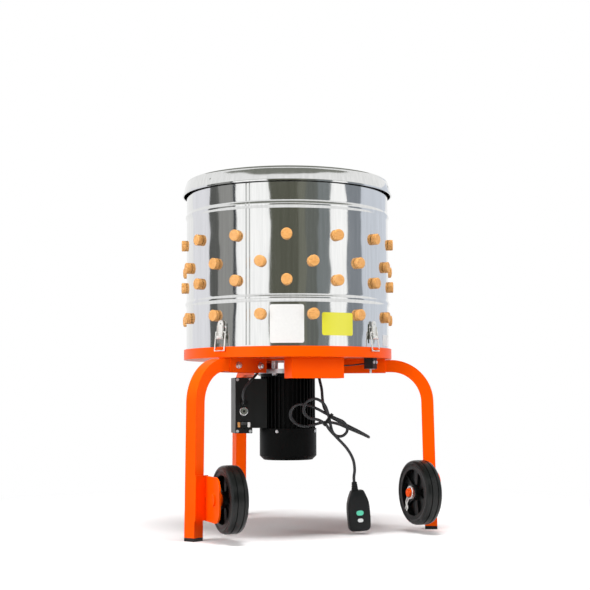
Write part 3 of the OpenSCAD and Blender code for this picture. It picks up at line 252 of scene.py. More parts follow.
def relief_point(up):
    """A point up the middle of the plug's strain relief, in the cord's frame."""
    across = RELIEF_X * math.cos(PLUG_TILT) + up * math.sin(PLUG_TILT)
    return (PLUG_FOOT[0] + across * math.cos(PLUG_TURN), PLUG_FOOT[1] - across * math.sin(PLUG_TURN),
            PLUG_FOOT[2] - RELIEF_X * math.sin(PLUG_TILT) + up * math.cos(PLUG_TILT))


def smooth_path(points, steps):
    """Points on a smooth curve through the route's points."""
    route = [2 * points[0] - points[1]] + points + [2 * points[-1] - points[-2]]
    path = []
    for a, b, c, d in zip(route, route[1:], route[2:], route[3:]):
        for k in range(steps):
            t = k / steps
            path.append(0.5 * (2 * b + (c - a) * t + (2 * a - 5 * b + 4 * c - d) * t ** 2
                               + (3 * b - a - 3 * c + d) * t ** 3))
    return path + [points[-1]]


def tube_curve(name, path, diameter, material):
    """A round tube along a path, as one open spline."""
    data = bpy.data.curves.new(name, "CURVE")
    data.dimensions = "3D"
    data.bevel_depth = diameter / 2
    data.bevel_resolution = 5
    data.use_fill_caps = True
    line = data.splines.new("POLY")
    line.points.add(len(path) - 1)
    for point, place in zip(line.points, path):
        point.co = (*place, 1)
    data.materials.append(material)
    return linked(name, data)


CORD_ROUTE = [
    (*GROMMET, GROMMET_FOOT + 9), (*GROMMET, GROMMET_FOOT - 6), (78, 92, 368), (83, 100, 344), (85, 112, 317),
    (89, 125, 297), (101, 135, 279), (121, 139, 267), (147, 140, 254), (174, 138, 240), (190, 131, 231),
    (196, 116, 227), (190, 101, 230), (174, 94, 237), (148, 97, 248), (125, 111, 258), (104, 124, 263),
    (85, 130, 263), (63, 132, 258), (40, 133, 254), (19, 134, 261), (7, 135, 278), (10, 137, 296),
    (26, 139, 306), (47, 141, 305), (71, 144, 296), (95, 147, 283), (116, 149, 273), (133, 149, 265),
    (142, 150, 253), (141, 151, 240), (130, 152, 231), (116, 153, 232), (107, 154, 242), (103, 155, 256),
    (100, 156, 271), (96, 157, 287), (90, 158, 303), (79, 159, 315), (65, 159, 320), (49, 159, 315),
    (39, 160, 300), (41, 160, 284), (54, 161, 274), (73, 162, 270), (90, 163, 260), (102, 163, 244),
    (119, 163, 226), (141, 162, 202), (155, 161, 177), (159, 161, 153), relief_point(PLUG_H + RELIEF_H + 10),
    relief_point(PLUG_H + RELIEF_H - 10)]

# Extruded PVC: near black with a soft shine. Its faint grain is well under 1 mm, and is drawn at 2.4 mm to
# show.
pvc_sheath, tree, skin, where = finish_material("black_pvc_sheath")
grain = add(tree, "ShaderNodeTexNoise", {"Vector": where, "Scale": 420, "Detail": 3})
add(tree, "ShaderNodeMix", {"Factor": grain, "A": hexed("#141416"), "B": hexed("#242528")},
    skin.inputs["Base Color"], data_type="RGBA")
add(tree, "ShaderNodeMapRange", {"Value": grain, "To Min": 0.30, "To Max": 0.46}, skin.inputs["Roughness"])
add(tree, "ShaderNodeBump", {"Height": grain, "Strength": 0.08, "Distance": 0.0004}, skin.inputs["Normal"])

cord_path = smooth_path([view_point(*p) for p in CORD_ROUTE], CORD_STEPS)
power_lead = tube_curve("power_lead", cord_path, CORD_D, pvc_sheath)
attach(power_lead, "frame")
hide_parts("power_cord")


# The plug: black PVC moulded in one with its ribbed strain relief, with two buttons in its face.
# It hangs by the cord, a little turned and tilted.

# Rings up the plug, in millimetres: height, half width and half depth
PLUG_RINGS = [(0, 17.5, 9), (0.8, 20, 11), (3, 23.2, 13), (7, 25.4, 14.4), (14, 26.4, 15), (30, 27, 15),
              (54, 27, 15), (66, 25.8, 15), (76, 23, 14.9), (86, 19, 14.4), (92, 16.4, 13.4), (95, 14.6, 12),
              (96, 12.6, 10)]
PLUG_CORNERS = 48
PLUG_SQUARE = 0.42
PLUG_CREASE = 38
RIB_COUNT = 5
RIB_PITCH = 4
RIB_LAND = 2.6
RIB_EASE = 0.2
RIB_R = 8.4
RIB_TAPER = 0.45
RIB_SIDES = 24
GROOVE_DEEP = 1.3
RELIEF_ROOT = (PLUG_H - 1, 8.5)
RELIEF_END_R = 4.2
hang = (Matrix.Translation((0, AXIS_Y, 0)) @ Matrix.Rotation(VIEW_TURN + math.pi / 2, 4, "Z")
        @ Matrix.Translation((PLUG_FOOT[0] / 1000, -PLUG_FOOT[1] / 1000, PLUG_FOOT[2] / 1000))
        @ Matrix.Rotation(PLUG_TURN, 4, "Z") @ Matrix.Rotation(PLUG_TILT, 4, "Y"))


def lofted(shape, rings):
    """Joins rings of points into one closed skin."""
    loops = [[shape.verts.new(p) for p in ring] for ring in rings]
    for low, high in zip(loops, loops[1:]):
        for k in range(len(low)):
            n = (k + 1) % len(low)
            shape.faces.new((low[k], low[n], high[n], high[k]))
    shape.faces.new(reversed(loops[0]))
    shape.faces.new(loops[-1])


def bent_to(v, power):
    """A sine or cosine pushed towards its ends, which squares off a circle."""
    return math.copysign(abs(v) ** power, v)


def solid_piece(name, shape, sharp):
    """A piece from a closed shape, smooth but for edges that turn by more than so many degrees."""
    bmesh.ops.recalc_face_normals(shape, faces=shape.faces)
    for face in shape.faces:
        face.smooth = True
    mesh = bpy.data.meshes.new(name)
    shape.to_mesh(mesh)
    shape.free()
    mesh.set_sharp_from_angle(angle=math.radians(sharp))
    return linked(name, mesh)


plug_shape = bmesh.new()
squared = [(bent_to(math.cos(a), PLUG_SQUARE), bent_to(math.sin(a), PLUG_SQUARE))
           for a in full_turn(PLUG_CORNERS)]
lofted(plug_shape, [[(w * u / 1000, d * v / 1000, z / 1000) for u, v in squared] for z, w, d in PLUG_RINGS])
ribs = [RELIEF_ROOT]
for k in range(RIB_COUNT):
    foot, wide = PLUG_H + RIB_PITCH * k, RIB_R - RIB_TAPER * k
    groove = wide - GROOVE_DEEP
    ribs += [(foot, wide), (foot + RIB_LAND, wide - RIB_EASE), (foot + RIB_LAND + RIB_EASE, groove),
             (foot + RIB_PITCH - RIB_EASE, groove)]
ribs += [(PLUG_H + RELIEF_H, RELIEF_END_R)]
lofted(plug_shape, [[((RELIEF_X + r * math.cos(a)) / 1000, r * math.sin(a) / 1000, z / 1000)
                     for a in full_turn(RIB_SIDES)] for z, r in ribs])
plug_shape.transform(hang)
plug = solid_piece("plug_moulding", plug_shape, PLUG_CREASE)

# Moulded PVC: charcoal, duller than the sheath. Its spark-eroded tooth is some 0.1 mm, and is drawn at 1.3 mm
# to show.
pvc_moulding, tree, skin, where = finish_material("charcoal_pvc_moulding")
tooth = add(tree, "ShaderNodeTexNoise", {"Vector": where, "Scale": 800, "Detail": 3})
add(tree, "ShaderNodeMix", {"Factor": tooth, "A": hexed("#0a0b0c"), "B": hexed("#151718")},
    skin.inputs["Base Color"], data_type="RGBA")
add(tree, "ShaderNodeBump", {"Height": tooth, "Strength": 0.15, "Distance": 0.0003}, skin.inputs["Normal"])
skin.inputs["Roughness"].default_value = 0.4
skin.inputs["Specular IOR Level"].default_value = 0.25
plug.data.materials.append(pvc_moulding)
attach(plug, "frame")
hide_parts("plug_body")


# Two short leads stay in the machine: dark grey PVC from the switch box's gland, and black from the
# interlock. Both run up under the base to the plate that carries the motor.
BOX_TURN = math.radians(167)
GLAND_LEAD_D = 0.006
INTERLOCK_LEAD_D = 0.0035
LEAD_STEPS = 8

# Their routes in millimetres, the first in the box's frame and the second in the machine's
GLAND_LEAD = [(118, 53, 310), (119, 66, 312), (123, 77, 319), (125, 83, 331), (121, 83, 346), (109, 77, 361),
              (95, 67, 374), (84, 59, 387), (78, 54, 398), (76.5, 52.5, 406), (76.5, 52.5, 413.7)]
INTERLOCK_LEAD = [(131.8, -178.1, 405), (124, -167, 404), (110, -156, 402), (92, -147, 401), (74, -136, 401),
                  (60, -118, 401), (50, -98, 402), (45.5, -87, 405), (45, -85, 409), (45, -85, 413.7)]

# Dark grey PVC: nearly black, a little paler in scuffs of about 4 mm
grey_pvc, tree, skin, where = finish_material("dark_grey_pvc_sheath")
scuff = add(tree, "ShaderNodeTexNoise", {"Vector": where, "Scale": 250, "Detail": 4})
add(tree, "ShaderNodeMix", {"Factor": scuff, "A": hexed("#1b1d1e"), "B": hexed("#303335")},
    skin.inputs["Base Color"], data_type="RGBA")
skin.inputs["Roughness"].default_value = 0.4
at_axis = Matrix.Translation((0, AXIS_Y, 0))
box_turn = Matrix.Rotation(BOX_TURN, 4, "Z")
gland_path = [at_axis @ box_turn @ (Vector(p) / 1000) for p in GLAND_LEAD]
switch_path = [at_axis @ (Vector(p) / 1000) for p in INTERLOCK_LEAD]
gland_lead = tube_curve("gland_lead", smooth_path(gland_path, LEAD_STEPS), GLAND_LEAD_D, grey_pvc)
switch_lead = tube_curve("interlock_lead", smooth_path(switch_path, LEAD_STEPS), INTERLOCK_LEAD_D, pvc_sheath)
for lead in (gland_lead, switch_lead):
    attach(lead, "frame")
    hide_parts("held_leads")


# The base: a rolled ring with a welded floor, a feather chute, three bent square-tube legs in channels,
# the wheel plates and stub axles. It is all mild steel, welded or bolted, and powder coated in one orange.
def dress(material, *names):
    """Puts one finish on carried-over nodes."""
    for name in names:
        nodes[name].data.materials.clear()
        nodes[name].data.materials.append(material)


# Powder coat: strong even orange with a soft shine, its shade drifting over 110 mm. Its orange peel is about
# 1.5 mm, and is drawn at 4 mm to show.
powder_coat, tree, skin, where = finish_material("orange_powder_coat_on_steel")
peel = add(tree, "ShaderNodeTexNoise", {"Vector": where, "Scale": 250, "Detail": 2})
cloud = add(tree, "ShaderNodeTexNoise", {"Vector": where, "Scale": 9, "Detail": 3})
add(tree, "ShaderNodeMix", {"Factor": cloud, "A": hexed("#ff5000"), "B": hexed("#ff5c02")},
    skin.inputs["Base Color"], data_type="RGBA")
add(tree, "ShaderNodeMapRange", {"Value": cloud, "To Min": 0.30, "To Max": 0.42}, skin.inputs["Roughness"])
add(tree, "ShaderNodeBump", {"Height": peel, "Strength": 0.10, "Distance": 0.0004}, skin.inputs["Normal"])
skin.inputs["Specular IOR Level"].default_value = 0.16
skin.inputs["Specular Tint"].default_value = hexed("#ffb070")
dress(powder_coat, "base_ring", "mount_plate", "chute", "leg_left", "leg_right", "leg_tail", "leg_channels",
      "wheel_plates", "stub_axles")


# The foot caps and tyres: black rubber, moulded and a little dusty on the rolling face.
# The caps push up inside the tube ends, and the solid tyres are stretched over their hubs. The dust lies in
# patches of 17 mm, and the grit is 1 mm.
moulded_rubber, tree, skin, where = finish_material("black_moulded_rubber")
dust = add(tree, "ShaderNodeTexNoise", {"Vector": where, "Scale": 60, "Detail": 5, "Roughness": 0.65})
grit = add(tree, "ShaderNodeTexNoise", {"Vector": where, "Scale": 900, "Detail": 2})
add(tree, "ShaderNodeMix", {"Factor": dust, "A": hexed("#060707"), "B": hexed("#1a1c1b")},
    skin.inputs["Base Color"], data_type="RGBA")
add(tree, "ShaderNodeMapRange", {"Value": dust, "To Min": 0.2, "To Max": 0.42}, skin.inputs["Roughness"])
add(tree, "ShaderNodeBump", {"Height": grit, "Strength": 0.12, "Distance": 0.0003}, skin.inputs["Normal"])
skin.inputs["Specular IOR Level"].default_value = 0.3
dress(moulded_rubber, "foot_caps", "tyre_left", "tyre_right", "cord_grommet")


# The wheel hubs, the switch box and the small switch parts: black plastic from a lightly textured mould.
# The hubs run on the stub axles, and the box is bolted to the motor's side by its saddle. The mould's texture
# is 1.4 mm, and the gloss changes with the plastic's flow over 30 mm.
moulded_plastic, tree, skin, where = finish_material("black_moulded_polypropylene")
spark = add(tree, "ShaderNodeTexNoise", {"Vector": where, "Scale": 700, "Detail": 3})
flow = add(tree, "ShaderNodeTexNoise", {"Vector": where, "Scale": 30, "Detail": 3})
add(tree, "ShaderNodeMix", {"Factor": flow, "A": hexed("#050606"), "B": hexed("#0d0e0e")},
    skin.inputs["Base Color"], data_type="RGBA")
add(tree, "ShaderNodeMapRange", {"Value": flow, "To Min": 0.34, "To Max": 0.5}, skin.inputs["Roughness"])
add(tree, "ShaderNodeBump", {"Height": spark, "Strength": 0.10, "Distance": 0.0002}, skin.inputs["Normal"])
skin.inputs["Specular IOR Level"].default_value = 0.32
dress(moulded_plastic, "wheel_hub_left", "wheel_hub_right", "switch_box", "switch_panel", "box_gland",
      "interlock_switch", "cord_tie", "cooling_fan")


# The bolts, screws, shaft, plate hub, rotor core, interlock plunger and bearings: steel, headed or turned,
# and zinc plated. Bolts and screws hold by their threads, and the bearings are pressed in. The plating is
# bright but cloudy, with a faint blue-grey mottle of 3 mm.
zinc_plate, tree, skin, where = finish_material("zinc_plated_steel")
mottle = add(tree, "ShaderNodeTexNoise", {"Vector": where, "Scale": 350, "Detail": 4})
add(tree, "ShaderNodeMix", {"Factor": mottle, "A": hexed("#bfc2c5"), "B": hexed("#e2e3e4")},
    skin.inputs["Base Color"], data_type="RGBA")
add(tree, "ShaderNodeMapRange", {"Value": mottle, "To Min": 0.3, "To Max": 0.5}, skin.inputs["Roughness"])
skin.inputs["Metallic"].default_value = 1
dress(zinc_plate, "leg_bolts", "wheel_keepers", "motor_bolts", "small_screws", "plate_hub", "drive_shaft",
      "rotor_core", "interlock_plunger", "motor_bearings")


# The motor: a finned cast-aluminium body painted satin black, under a machined flange.
# It hangs by four bolts and spacers from the plate under the base. The cast skin's pebble is about 3 mm.
satin_black, tree, skin, where = finish_material("satin_black_paint_on_cast_aluminium")
cast = add(tree, "ShaderNodeTexNoise", {"Vector": where, "Scale": 300, "Detail": 4})
add(tree, "ShaderNodeMix", {"Factor": cast, "A": hexed("#040404"), "B": hexed("#0a0b0b")},
    skin.inputs["Base Color"], data_type="RGBA")
add(tree, "ShaderNodeMapRange", {"Value": cast, "To Min": 0.36, "To Max": 0.55}, skin.inputs["Roughness"])
add(tree, "ShaderNodeBump", {"Height": cast, "Strength": 0.15, "Distance": 0.0004}, skin.inputs["Normal"])
skin.inputs["Specular IOR Level"].default_value = 0.08
dress(satin_black, "motor_body", "fan_cover")

# Machined aluminium: pale, with fine rings left by the tool about the motor's axis. They are some 0.2 mm
# apart, and are drawn at 2 mm to show.
machined_aluminium, tree, skin, where = finish_material("machined_aluminium")
centred = add(tree, "ShaderNodeMapping", {"Vector": where, "Location": (0, -AXIS_Y, 0)})
rings = add(tree, "ShaderNodeTexWave", {"Vector": centred, "Scale": 160, "Distortion": 0.6},
            wave_type="RINGS", rings_direction="Z")
add(tree, "ShaderNodeMapRange", {"Value": rings.outputs["Fac"], "To Min": 0.24, "To Max": 0.4},
    skin.inputs["Roughness"])
add(tree, "ShaderNodeMix", {"Factor": rings.outputs["Fac"], "A": hexed("#b9bbbd"), "B": hexed("#d6d8da")},
    skin.inputs["Base Color"], data_type="RGBA")
skin.inputs["Metallic"].default_value = 1
dress(machined_aluminium, "motor_flange", "run_capacitor")

# Varnished copper windings on an iron stack, hidden in the motor, with wires 1.7 mm apart
varnished_copper, tree, skin, where = finish_material("varnished_copper_winding")
turns = add(tree, "ShaderNodeTexWave", {"Vector": where, "Scale": 180, "Distortion": 1.5},
            bands_direction="Z")
add(tree, "ShaderNodeMix", {"Factor": turns.outputs["Fac"], "A": hexed("#5d2d14"), "B": hexed("#a55c33")},
    skin.inputs["Base Color"], data_type="RGBA")
skin.inputs["Roughness"].default_value = 0.35
dress(varnished_copper, "stator")


# The drum: thin stainless sheet, rolled, polished and closed by a lock seam, with two swaged beads.
# The finger plate in its bottom is the same polished sheet.
DRUM_R = 0.2555
DRUM_WALL = 0.001
DRUM_FOOT = 0.421
DRUM_H = 0.440
BEAD_OUT = 0.003
BEAD_HALF = 0.010
BEAD_LOW = 0.135
BEAD_HIGH = 0.355
SEAM_TURN = math.radians(-134)
SEAM_W = 0.012
SEAM_LIP = 0.0032
SEAM_CROWN = 0.0012
SEAM_BELOW_TOP = 0.03
RING_H = 0.025
DRUM_COLUMNS = 193
DRUM_ROWS = 291
LIP_COLUMNS = 7
LIP_ROWS = 271
LIP_CREASE = math.radians(50)
WELD = 0.00002


def node_tree(name, **inputs):
    """A new geometry tree with named inputs, and the sockets that give them."""
    tree = bpy.data.node_groups.new(name, "GeometryNodeTree")
    tree.interface.new_socket("Geometry", in_out="OUTPUT", socket_type="NodeSocketGeometry")
    for label, kind in inputs.items():
        tree.interface.new_socket(label, in_out="INPUT", socket_type="NodeSocket" + kind)
    return tree, add(tree, "NodeGroupInput").outputs


def grown(name, tree, body, slot, **values):
    """A plain mesh piece from a geometry tree, riding on a body."""
    piece = linked(name, bpy.data.meshes.new(name))
    growth = piece.modifiers.new("growth", "NODES")
    growth.node_group = tree
    for item in tree.interface.items_tree:
        if item.in_out == "INPUT":
            growth[item.identifier] = values[item.name]
    made = bpy.data.meshes.new_from_object(piece.evaluated_get(bpy.context.evaluated_depsgraph_get()))
    piece.modifiers.clear()
    piece.data = made
    made.name = name
    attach(piece, body)
    return piece


def ended(tree, geometry, finish):
    """Ends a geometry tree in a plain mesh with its finish."""
    plain = add(tree, "GeometryNodeRealizeInstances", {"Geometry": geometry})
    dressed = add(tree, "GeometryNodeSetMaterial", {"Geometry": plain, "Material": finish})
    add(tree, "NodeGroupOutput", {"Geometry": dressed})


# Polished stainless: a clear mirror with fine upright streaks from the polishing mop, and a slow swell of the
# sheet over 110 mm. The streaks are some 0.1 mm wide, and are drawn at 6 mm to show.
polished_stainless, tree, skin, where = finish_material("polished_stainless_sheet")
tall = add(tree, "ShaderNodeMapping", {"Vector": where, "Scale": (1, 1, 0.04)})
streak = add(tree, "ShaderNodeTexNoise", {"Vector": tall, "Scale": 160, "Detail": 5, "Roughness": 0.6})
swell = add(tree, "ShaderNodeTexNoise", {"Vector": where, "Scale": 9, "Detail": 1})
add(tree, "ShaderNodeMix", {"Factor": streak, "A": hexed("#cfd0cf"), "B": hexed("#ececeb")},
    skin.inputs["Base Color"], data_type="RGBA")
add(tree, "ShaderNodeMapRange", {"Value": streak, "To Min": 0.04, "To Max": 0.14}, skin.inputs["Roughness"])
add(tree, "ShaderNodeBump", {"Height": swell, "Strength": 0.55, "Distance": 0.006}, skin.inputs["Normal"])
skin.inputs["Metallic"].default_value = 1

# A rolled sheet: a grid bent round the axis, up the outside and down the inside, swelling at the two beads
tree, given = node_tree("rolled_sheet", Radius="Float", Wall="Float", Foot="Float", Height="Float",
                        Start="Float", Sweep="Float", Crown="Float", Columns="Int", Rows="Int",
                        Finish="Material")
sheet = add(tree, "GeometryNodeMeshGrid", {"Size X": 1.0, "Size Y": 1.0, "Vertices X": given["Columns"],
                                           "Vertices Y": given["Rows"]})
place = add(tree, "ShaderNodeSeparateXYZ", {"Vector": add(tree, "GeometryNodeInputPosition")})
along = add(tree, "ShaderNodeMath", {0: place.outputs["X"], 1: 0.5}, operation="ADD")
swing = add(tree, "ShaderNodeMath", {0: along, 1: given["Sweep"], 2: given["Start"]},
            operation="MULTIPLY_ADD")
half = add(tree, "ShaderNodeMath", {0: place.outputs["Y"]}, operation="ABSOLUTE")
rise = add(tree, "ShaderNodeMath", {0: half, 1: -2.0, 2: 1.0}, operation="MULTIPLY_ADD")
lift = add(tree, "ShaderNodeMath", {0: rise, 1: given["Height"]}, operation="MULTIPLY")
inside = add(tree, "ShaderNodeMath", {0: place.outputs["Y"], 1: 0.0}, operation="GREATER_THAN")
thin = add(tree, "ShaderNodeMath", {0: inside, 1: given["Wall"]}, operation="MULTIPLY")
radius = add(tree, "ShaderNodeMath", {0: given["Radius"], 1: thin}, operation="SUBTRACT")
level = add(tree, "ShaderNodeMath", {0: lift, 1: given["Foot"]}, operation="ADD")
for bead in (DRUM_FOOT + BEAD_LOW, DRUM_FOOT + BEAD_HIGH):
    off = add(tree, "ShaderNodeMath", {0: level, 1: bead}, operation="SUBTRACT")
    near = add(tree, "ShaderNodeMath", {0: off}, operation="ABSOLUTE")
    turn = add(tree, "ShaderNodeMapRange", {"Value": near, "From Min": 0.0, "From Max": BEAD_HALF,
                                            "To Min": 0.0, "To Max": math.pi})
    wave = add(tree, "ShaderNodeMath", {0: turn}, operation="COSINE")
    swell = add(tree, "ShaderNodeMath", {0: wave, 1: BEAD_OUT / 2, 2: BEAD_OUT / 2}, operation="MULTIPLY_ADD")
    radius = add(tree, "ShaderNodeMath", {0: radius, 1: swell}, operation="ADD")
edge = add(tree, "ShaderNodeMath", {0: place.outputs["X"], 1: 2.0}, operation="MULTIPLY")
square = add(tree, "ShaderNodeMath", {0: edge, 1: edge}, operation="MULTIPLY")
fall = add(tree, "ShaderNodeMath", {0: 1.0, 1: square}, operation="SUBTRACT", use_clamp=True)
bulge = add(tree, "ShaderNodeMath", {0: fall}, operation="SQRT")
radius = add(tree, "ShaderNodeMath", {0: bulge, 1: given["Crown"], 2: radius}, operation="MULTIPLY_ADD")
cosine = add(tree, "ShaderNodeMath", {0: swing}, operation="COSINE")
sine = add(tree, "ShaderNodeMath", {0: swing}, operation="SINE")
x = add(tree, "ShaderNodeMath", {0: cosine, 1: radius}, operation="MULTIPLY")
y = add(tree, "ShaderNodeMath", {0: sine, 1: radius, 2: AXIS_Y}, operation="MULTIPLY_ADD")
spot = add(tree, "ShaderNodeCombineXYZ", {"X": x, "Y": y, "Z": level})
bent = add(tree, "GeometryNodeSetPosition", {"Geometry": sheet.outputs["Mesh"], "Position": spot})
closed = add(tree, "GeometryNodeMergeByDistance", {"Geometry": bent, "Distance": WELD})
smooth = add(tree, "GeometryNodeSetShadeSmooth", {"Geometry": closed})
ended(tree, smooth, given["Finish"])

drum_sheet = grown("drum_sheet", tree, "frame", "polished_steel", Radius=DRUM_R, Wall=DRUM_WALL,
                   Foot=DRUM_FOOT, Height=DRUM_H, Start=0.0, Sweep=2 * math.pi, Crown=0.0,
                   Columns=DRUM_COLUMNS, Rows=DRUM_ROWS, Finish=polished_stainless)
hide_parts("drum_shell")

# The sheet's foot is closed between its outer and inner edge
shape = bmesh.new()
shape.from_mesh(drum_sheet.data)
bmesh.ops.bridge_loops(shape, edges=[e for e in shape.edges if e.is_boundary])
bmesh.ops.recalc_face_normals(shape, faces=shape.faces)
shape.to_mesh(drum_sheet.data)
shape.free()

# Each seam lip is the same sheet in a narrow strip, closed along its two sides and its foot
for label, off in (("left", -SEAM_W / 2), ("right", SEAM_W / 2 - SEAM_LIP)):
    lip = grown("drum_seam_" + label, tree, "frame", "polished_steel", Radius=DRUM_R, Wall=DRUM_WALL,
                Foot=DRUM_FOOT + RING_H, Height=DRUM_H - RING_H - SEAM_BELOW_TOP,
                Start=SEAM_TURN + off / DRUM_R, Sweep=SEAM_LIP / DRUM_R, Crown=SEAM_CROWN,
                Columns=LIP_COLUMNS, Rows=LIP_ROWS, Finish=polished_stainless)
    shape = bmesh.new()
    shape.from_mesh(lip.data)
    shape.verts.ensure_lookup_table()
    columns = [shape.verts[k * LIP_ROWS:(k + 1) * LIP_ROWS] for k in range(LIP_COLUMNS)]
    for side in (columns[0], columns[-1]):
        for k in range(LIP_ROWS // 2):
            shape.faces.new(dict.fromkeys((side[k], side[k + 1], side[-2 - k], side[-1 - k])))
    for one, two in zip(columns, columns[1:]):
        shape.faces.new((one[0], two[0], two[-1], one[-1]))
    bmesh.ops.recalc_face_normals(shape, faces=shape.faces)
    for face in shape.faces:
        face.smooth = True
    shape.to_mesh(lip.data)
    shape.free()
    lip.data.set_sharp_from_angle(angle=LIP_CREASE)
dress(polished_stainless, "finger_plate")


# The rim hoop: a strip of the same stainless, roll formed into a flared skirt that curls in at the top.
# It is pressed over the drum's top edge and held by rivets.
RIM_R = 0.264
RIM_NECK = 0.257
RIM_ROLL = 0.006
RIM_WALL = 0.0012
RIM_FOOT = 0.8305
RIM_H = 0.0375
LIP_OUT = 0.002
LIP_H = 0.003
LIP_EASE = 0.001
SKIRT_BULGE = 0.0006
SKIRT_STEPS = 12
ROLL_STEPS = 24
CURL_STEPS = 12
RIM_SEGMENTS = 192
TURNED_CREASE = 40


def turned(name, profile, segments, place=Matrix(), loop=False):
    """A shape turned about the X axis from (along, radius) points, then put in its place."""
    shape = bmesh.new()
    rings = []
    turns = full_turn(segments)
    for along, r in profile:
        if r == 0:
            rings.append([shape.verts.new((along, 0, 0))])
        else:
            rings.append([shape.verts.new((along, r * math.cos(t), r * math.sin(t))) for t in turns])
    for low, high in zip(rings, rings[1:] + rings[:1] * loop):
        for k in range(segments):
            n = (k + 1) % segments
            if len(low) == 1:
                shape.faces.new((low[0], high[n], high[k]))
            elif len(high) == 1:
                shape.faces.new((low[k], low[n], high[0]))
            else:
                shape.faces.new((low[k], low[n], high[n], high[k]))
    shape.transform(place)
    return solid_piece(name, shape, TURNED_CREASE)


roll_z = RIM_FOOT + RIM_H - RIM_ROLL
roll_r = RIM_NECK - RIM_ROLL
curl = RIM_ROLL - RIM_WALL
skirt_z = RIM_FOOT + LIP_H + LIP_EASE
outer = [(RIM_FOOT, RIM_R + LIP_OUT), (RIM_FOOT + LIP_H, RIM_R + LIP_OUT), (skirt_z, RIM_R)]
outer += [(skirt_z + (roll_z - skirt_z) * t, RIM_R + (RIM_NECK - RIM_R) * t + 4 * SKIRT_BULGE * t * (1 - t))
          for t in [k / SKIRT_STEPS for k in range(1, SKIRT_STEPS)]]
outer += [(roll_z + RIM_ROLL * math.sin(a), roll_r + RIM_ROLL * math.cos(a))
          for a in [math.pi * k / ROLL_STEPS for k in range(ROLL_STEPS + 1)]]
inner = [(roll_z + curl * math.sin(a), roll_r + curl * math.cos(a))
         for a in [math.pi * k / CURL_STEPS for k in range(CURL_STEPS, -1, -1)]]
inner += [(skirt_z, RIM_R - RIM_WALL), (RIM_FOOT, RIM_R - RIM_WALL)]
upright = Matrix.Translation((0, AXIS_Y, 0)) @ Matrix.Rotation(-math.pi / 2, 4, "Y")
rim = turned("drum_rim", outer + inner, RIM_SEGMENTS, upright, loop=True)
rim.data.materials.append(polished_stainless)
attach(rim, "frame")
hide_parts("rim_hoop")


# The rubber fingers: moulded tan rubber, pulled into the drum through holes in its sheet, which each grips by
# its neck. Their flat heads stay outside in four staggered rows, and the plate's own fingers stand up.
FINGER_COUNT = 13
ROW_HEIGHTS = (0.518, 0.598, 0.642, 0.705)
HEAD_R = 0.0135
HEAD_T = 0.0125
NECK_R = 0.0095
BODY_R = 0.0105
TIP_R = 0.007
REACH = 0.074
RIBS = 8
RIB_DEEP = 0.001
RIB_CREST = 0.35
RIB_VALLEY = 0.7
HEAD_ROUND = 0.002
HEAD_EASE = 0.0006
HEAD_GAP = 0.0001
HEAD_DISH = 0.0004
NIB_R = 0.0016
NIB_OUT = 0.0003
TIP_ROUND = 0.0012
FINGER_GAP = 0.0004
FINGER_SEGMENTS = 20

# A natural-rubber finger is tan with a paler bloom in patches of 11 mm, dark flow lines 2.4 mm wide and a
# moulded tooth, which is drawn at 1 mm to show
tan_rubber, tree, skin, where = finish_material("tan_natural_rubber")
bloom = add(tree, "ShaderNodeTexNoise", {"Vector": where, "Scale": 90, "Detail": 4})
grit = add(tree, "ShaderNodeTexNoise", {"Vector": where, "Scale": 900, "Detail": 2})
slant = add(tree, "ShaderNodeMapping", {"Vector": where, "Rotation": (0.5, 0.7, 0.4),
                                        "Scale": (0.12, 1, 1)})
grain = add(tree, "ShaderNodeTexNoise", {"Vector": slant, "Scale": 420, "Detail": 3})
line = add(tree, "ShaderNodeMapRange", {"Value": grain, "From Min": 0.5, "From Max": 0.72, "To Max": 0.7})
soft = add(tree, "ShaderNodeMix", {"Factor": bloom, "A": hexed("#d99343"), "B": hexed("#eeb877")},
           data_type="RGBA")
add(tree, "ShaderNodeMix", {"Factor": line, "A": soft, "B": hexed("#b97527")},
    skin.inputs["Base Color"], data_type="RGBA")
add(tree, "ShaderNodeBump", {"Height": grit, "Strength": 0.12, "Distance": 0.0003}, skin.inputs["Normal"])
skin.inputs["Roughness"].default_value = 0.55

# One finger along +X, with the sheet's outer face at x = 0: tip, ribs, neck, and a dished head with rounded
# edges and a moulding nib in its middle
neck_x = -DRUM_WALL - FINGER_GAP
outline = [(neck_x - REACH, 0), (neck_x - REACH, TIP_R - TIP_ROUND)]
for rib in range(RIBS - 1, -1, -1):
    thick = BODY_R + (TIP_R - BODY_R) * rib / RIBS
    back = neck_x - REACH * rib / RIBS
    outline += [(back - REACH / RIBS * RIB_VALLEY, thick - RIB_DEEP),
                (back - REACH / RIBS * RIB_CREST, thick), (back, thick - (RIB_DEEP if rib else 0.0))]
outline += [(neck_x, NECK_R), (HEAD_GAP, NECK_R), (HEAD_GAP, HEAD_R - HEAD_EASE), (HEAD_EASE, HEAD_R)]
outline += [(HEAD_T - HEAD_ROUND * (1 - math.sin(a)), HEAD_R - HEAD_ROUND * (1 - math.cos(a)))
            for a in [math.radians(d) for d in (0, 30, 60, 90)]]
outline += [(HEAD_T - 0.0003, HEAD_R * 0.5), (HEAD_T - HEAD_DISH, NIB_R), (HEAD_T + 0.0002, 0.001),
            (HEAD_T + NIB_OUT, 0)]
finger_form = turned("finger_form", outline, FINGER_SEGMENTS)

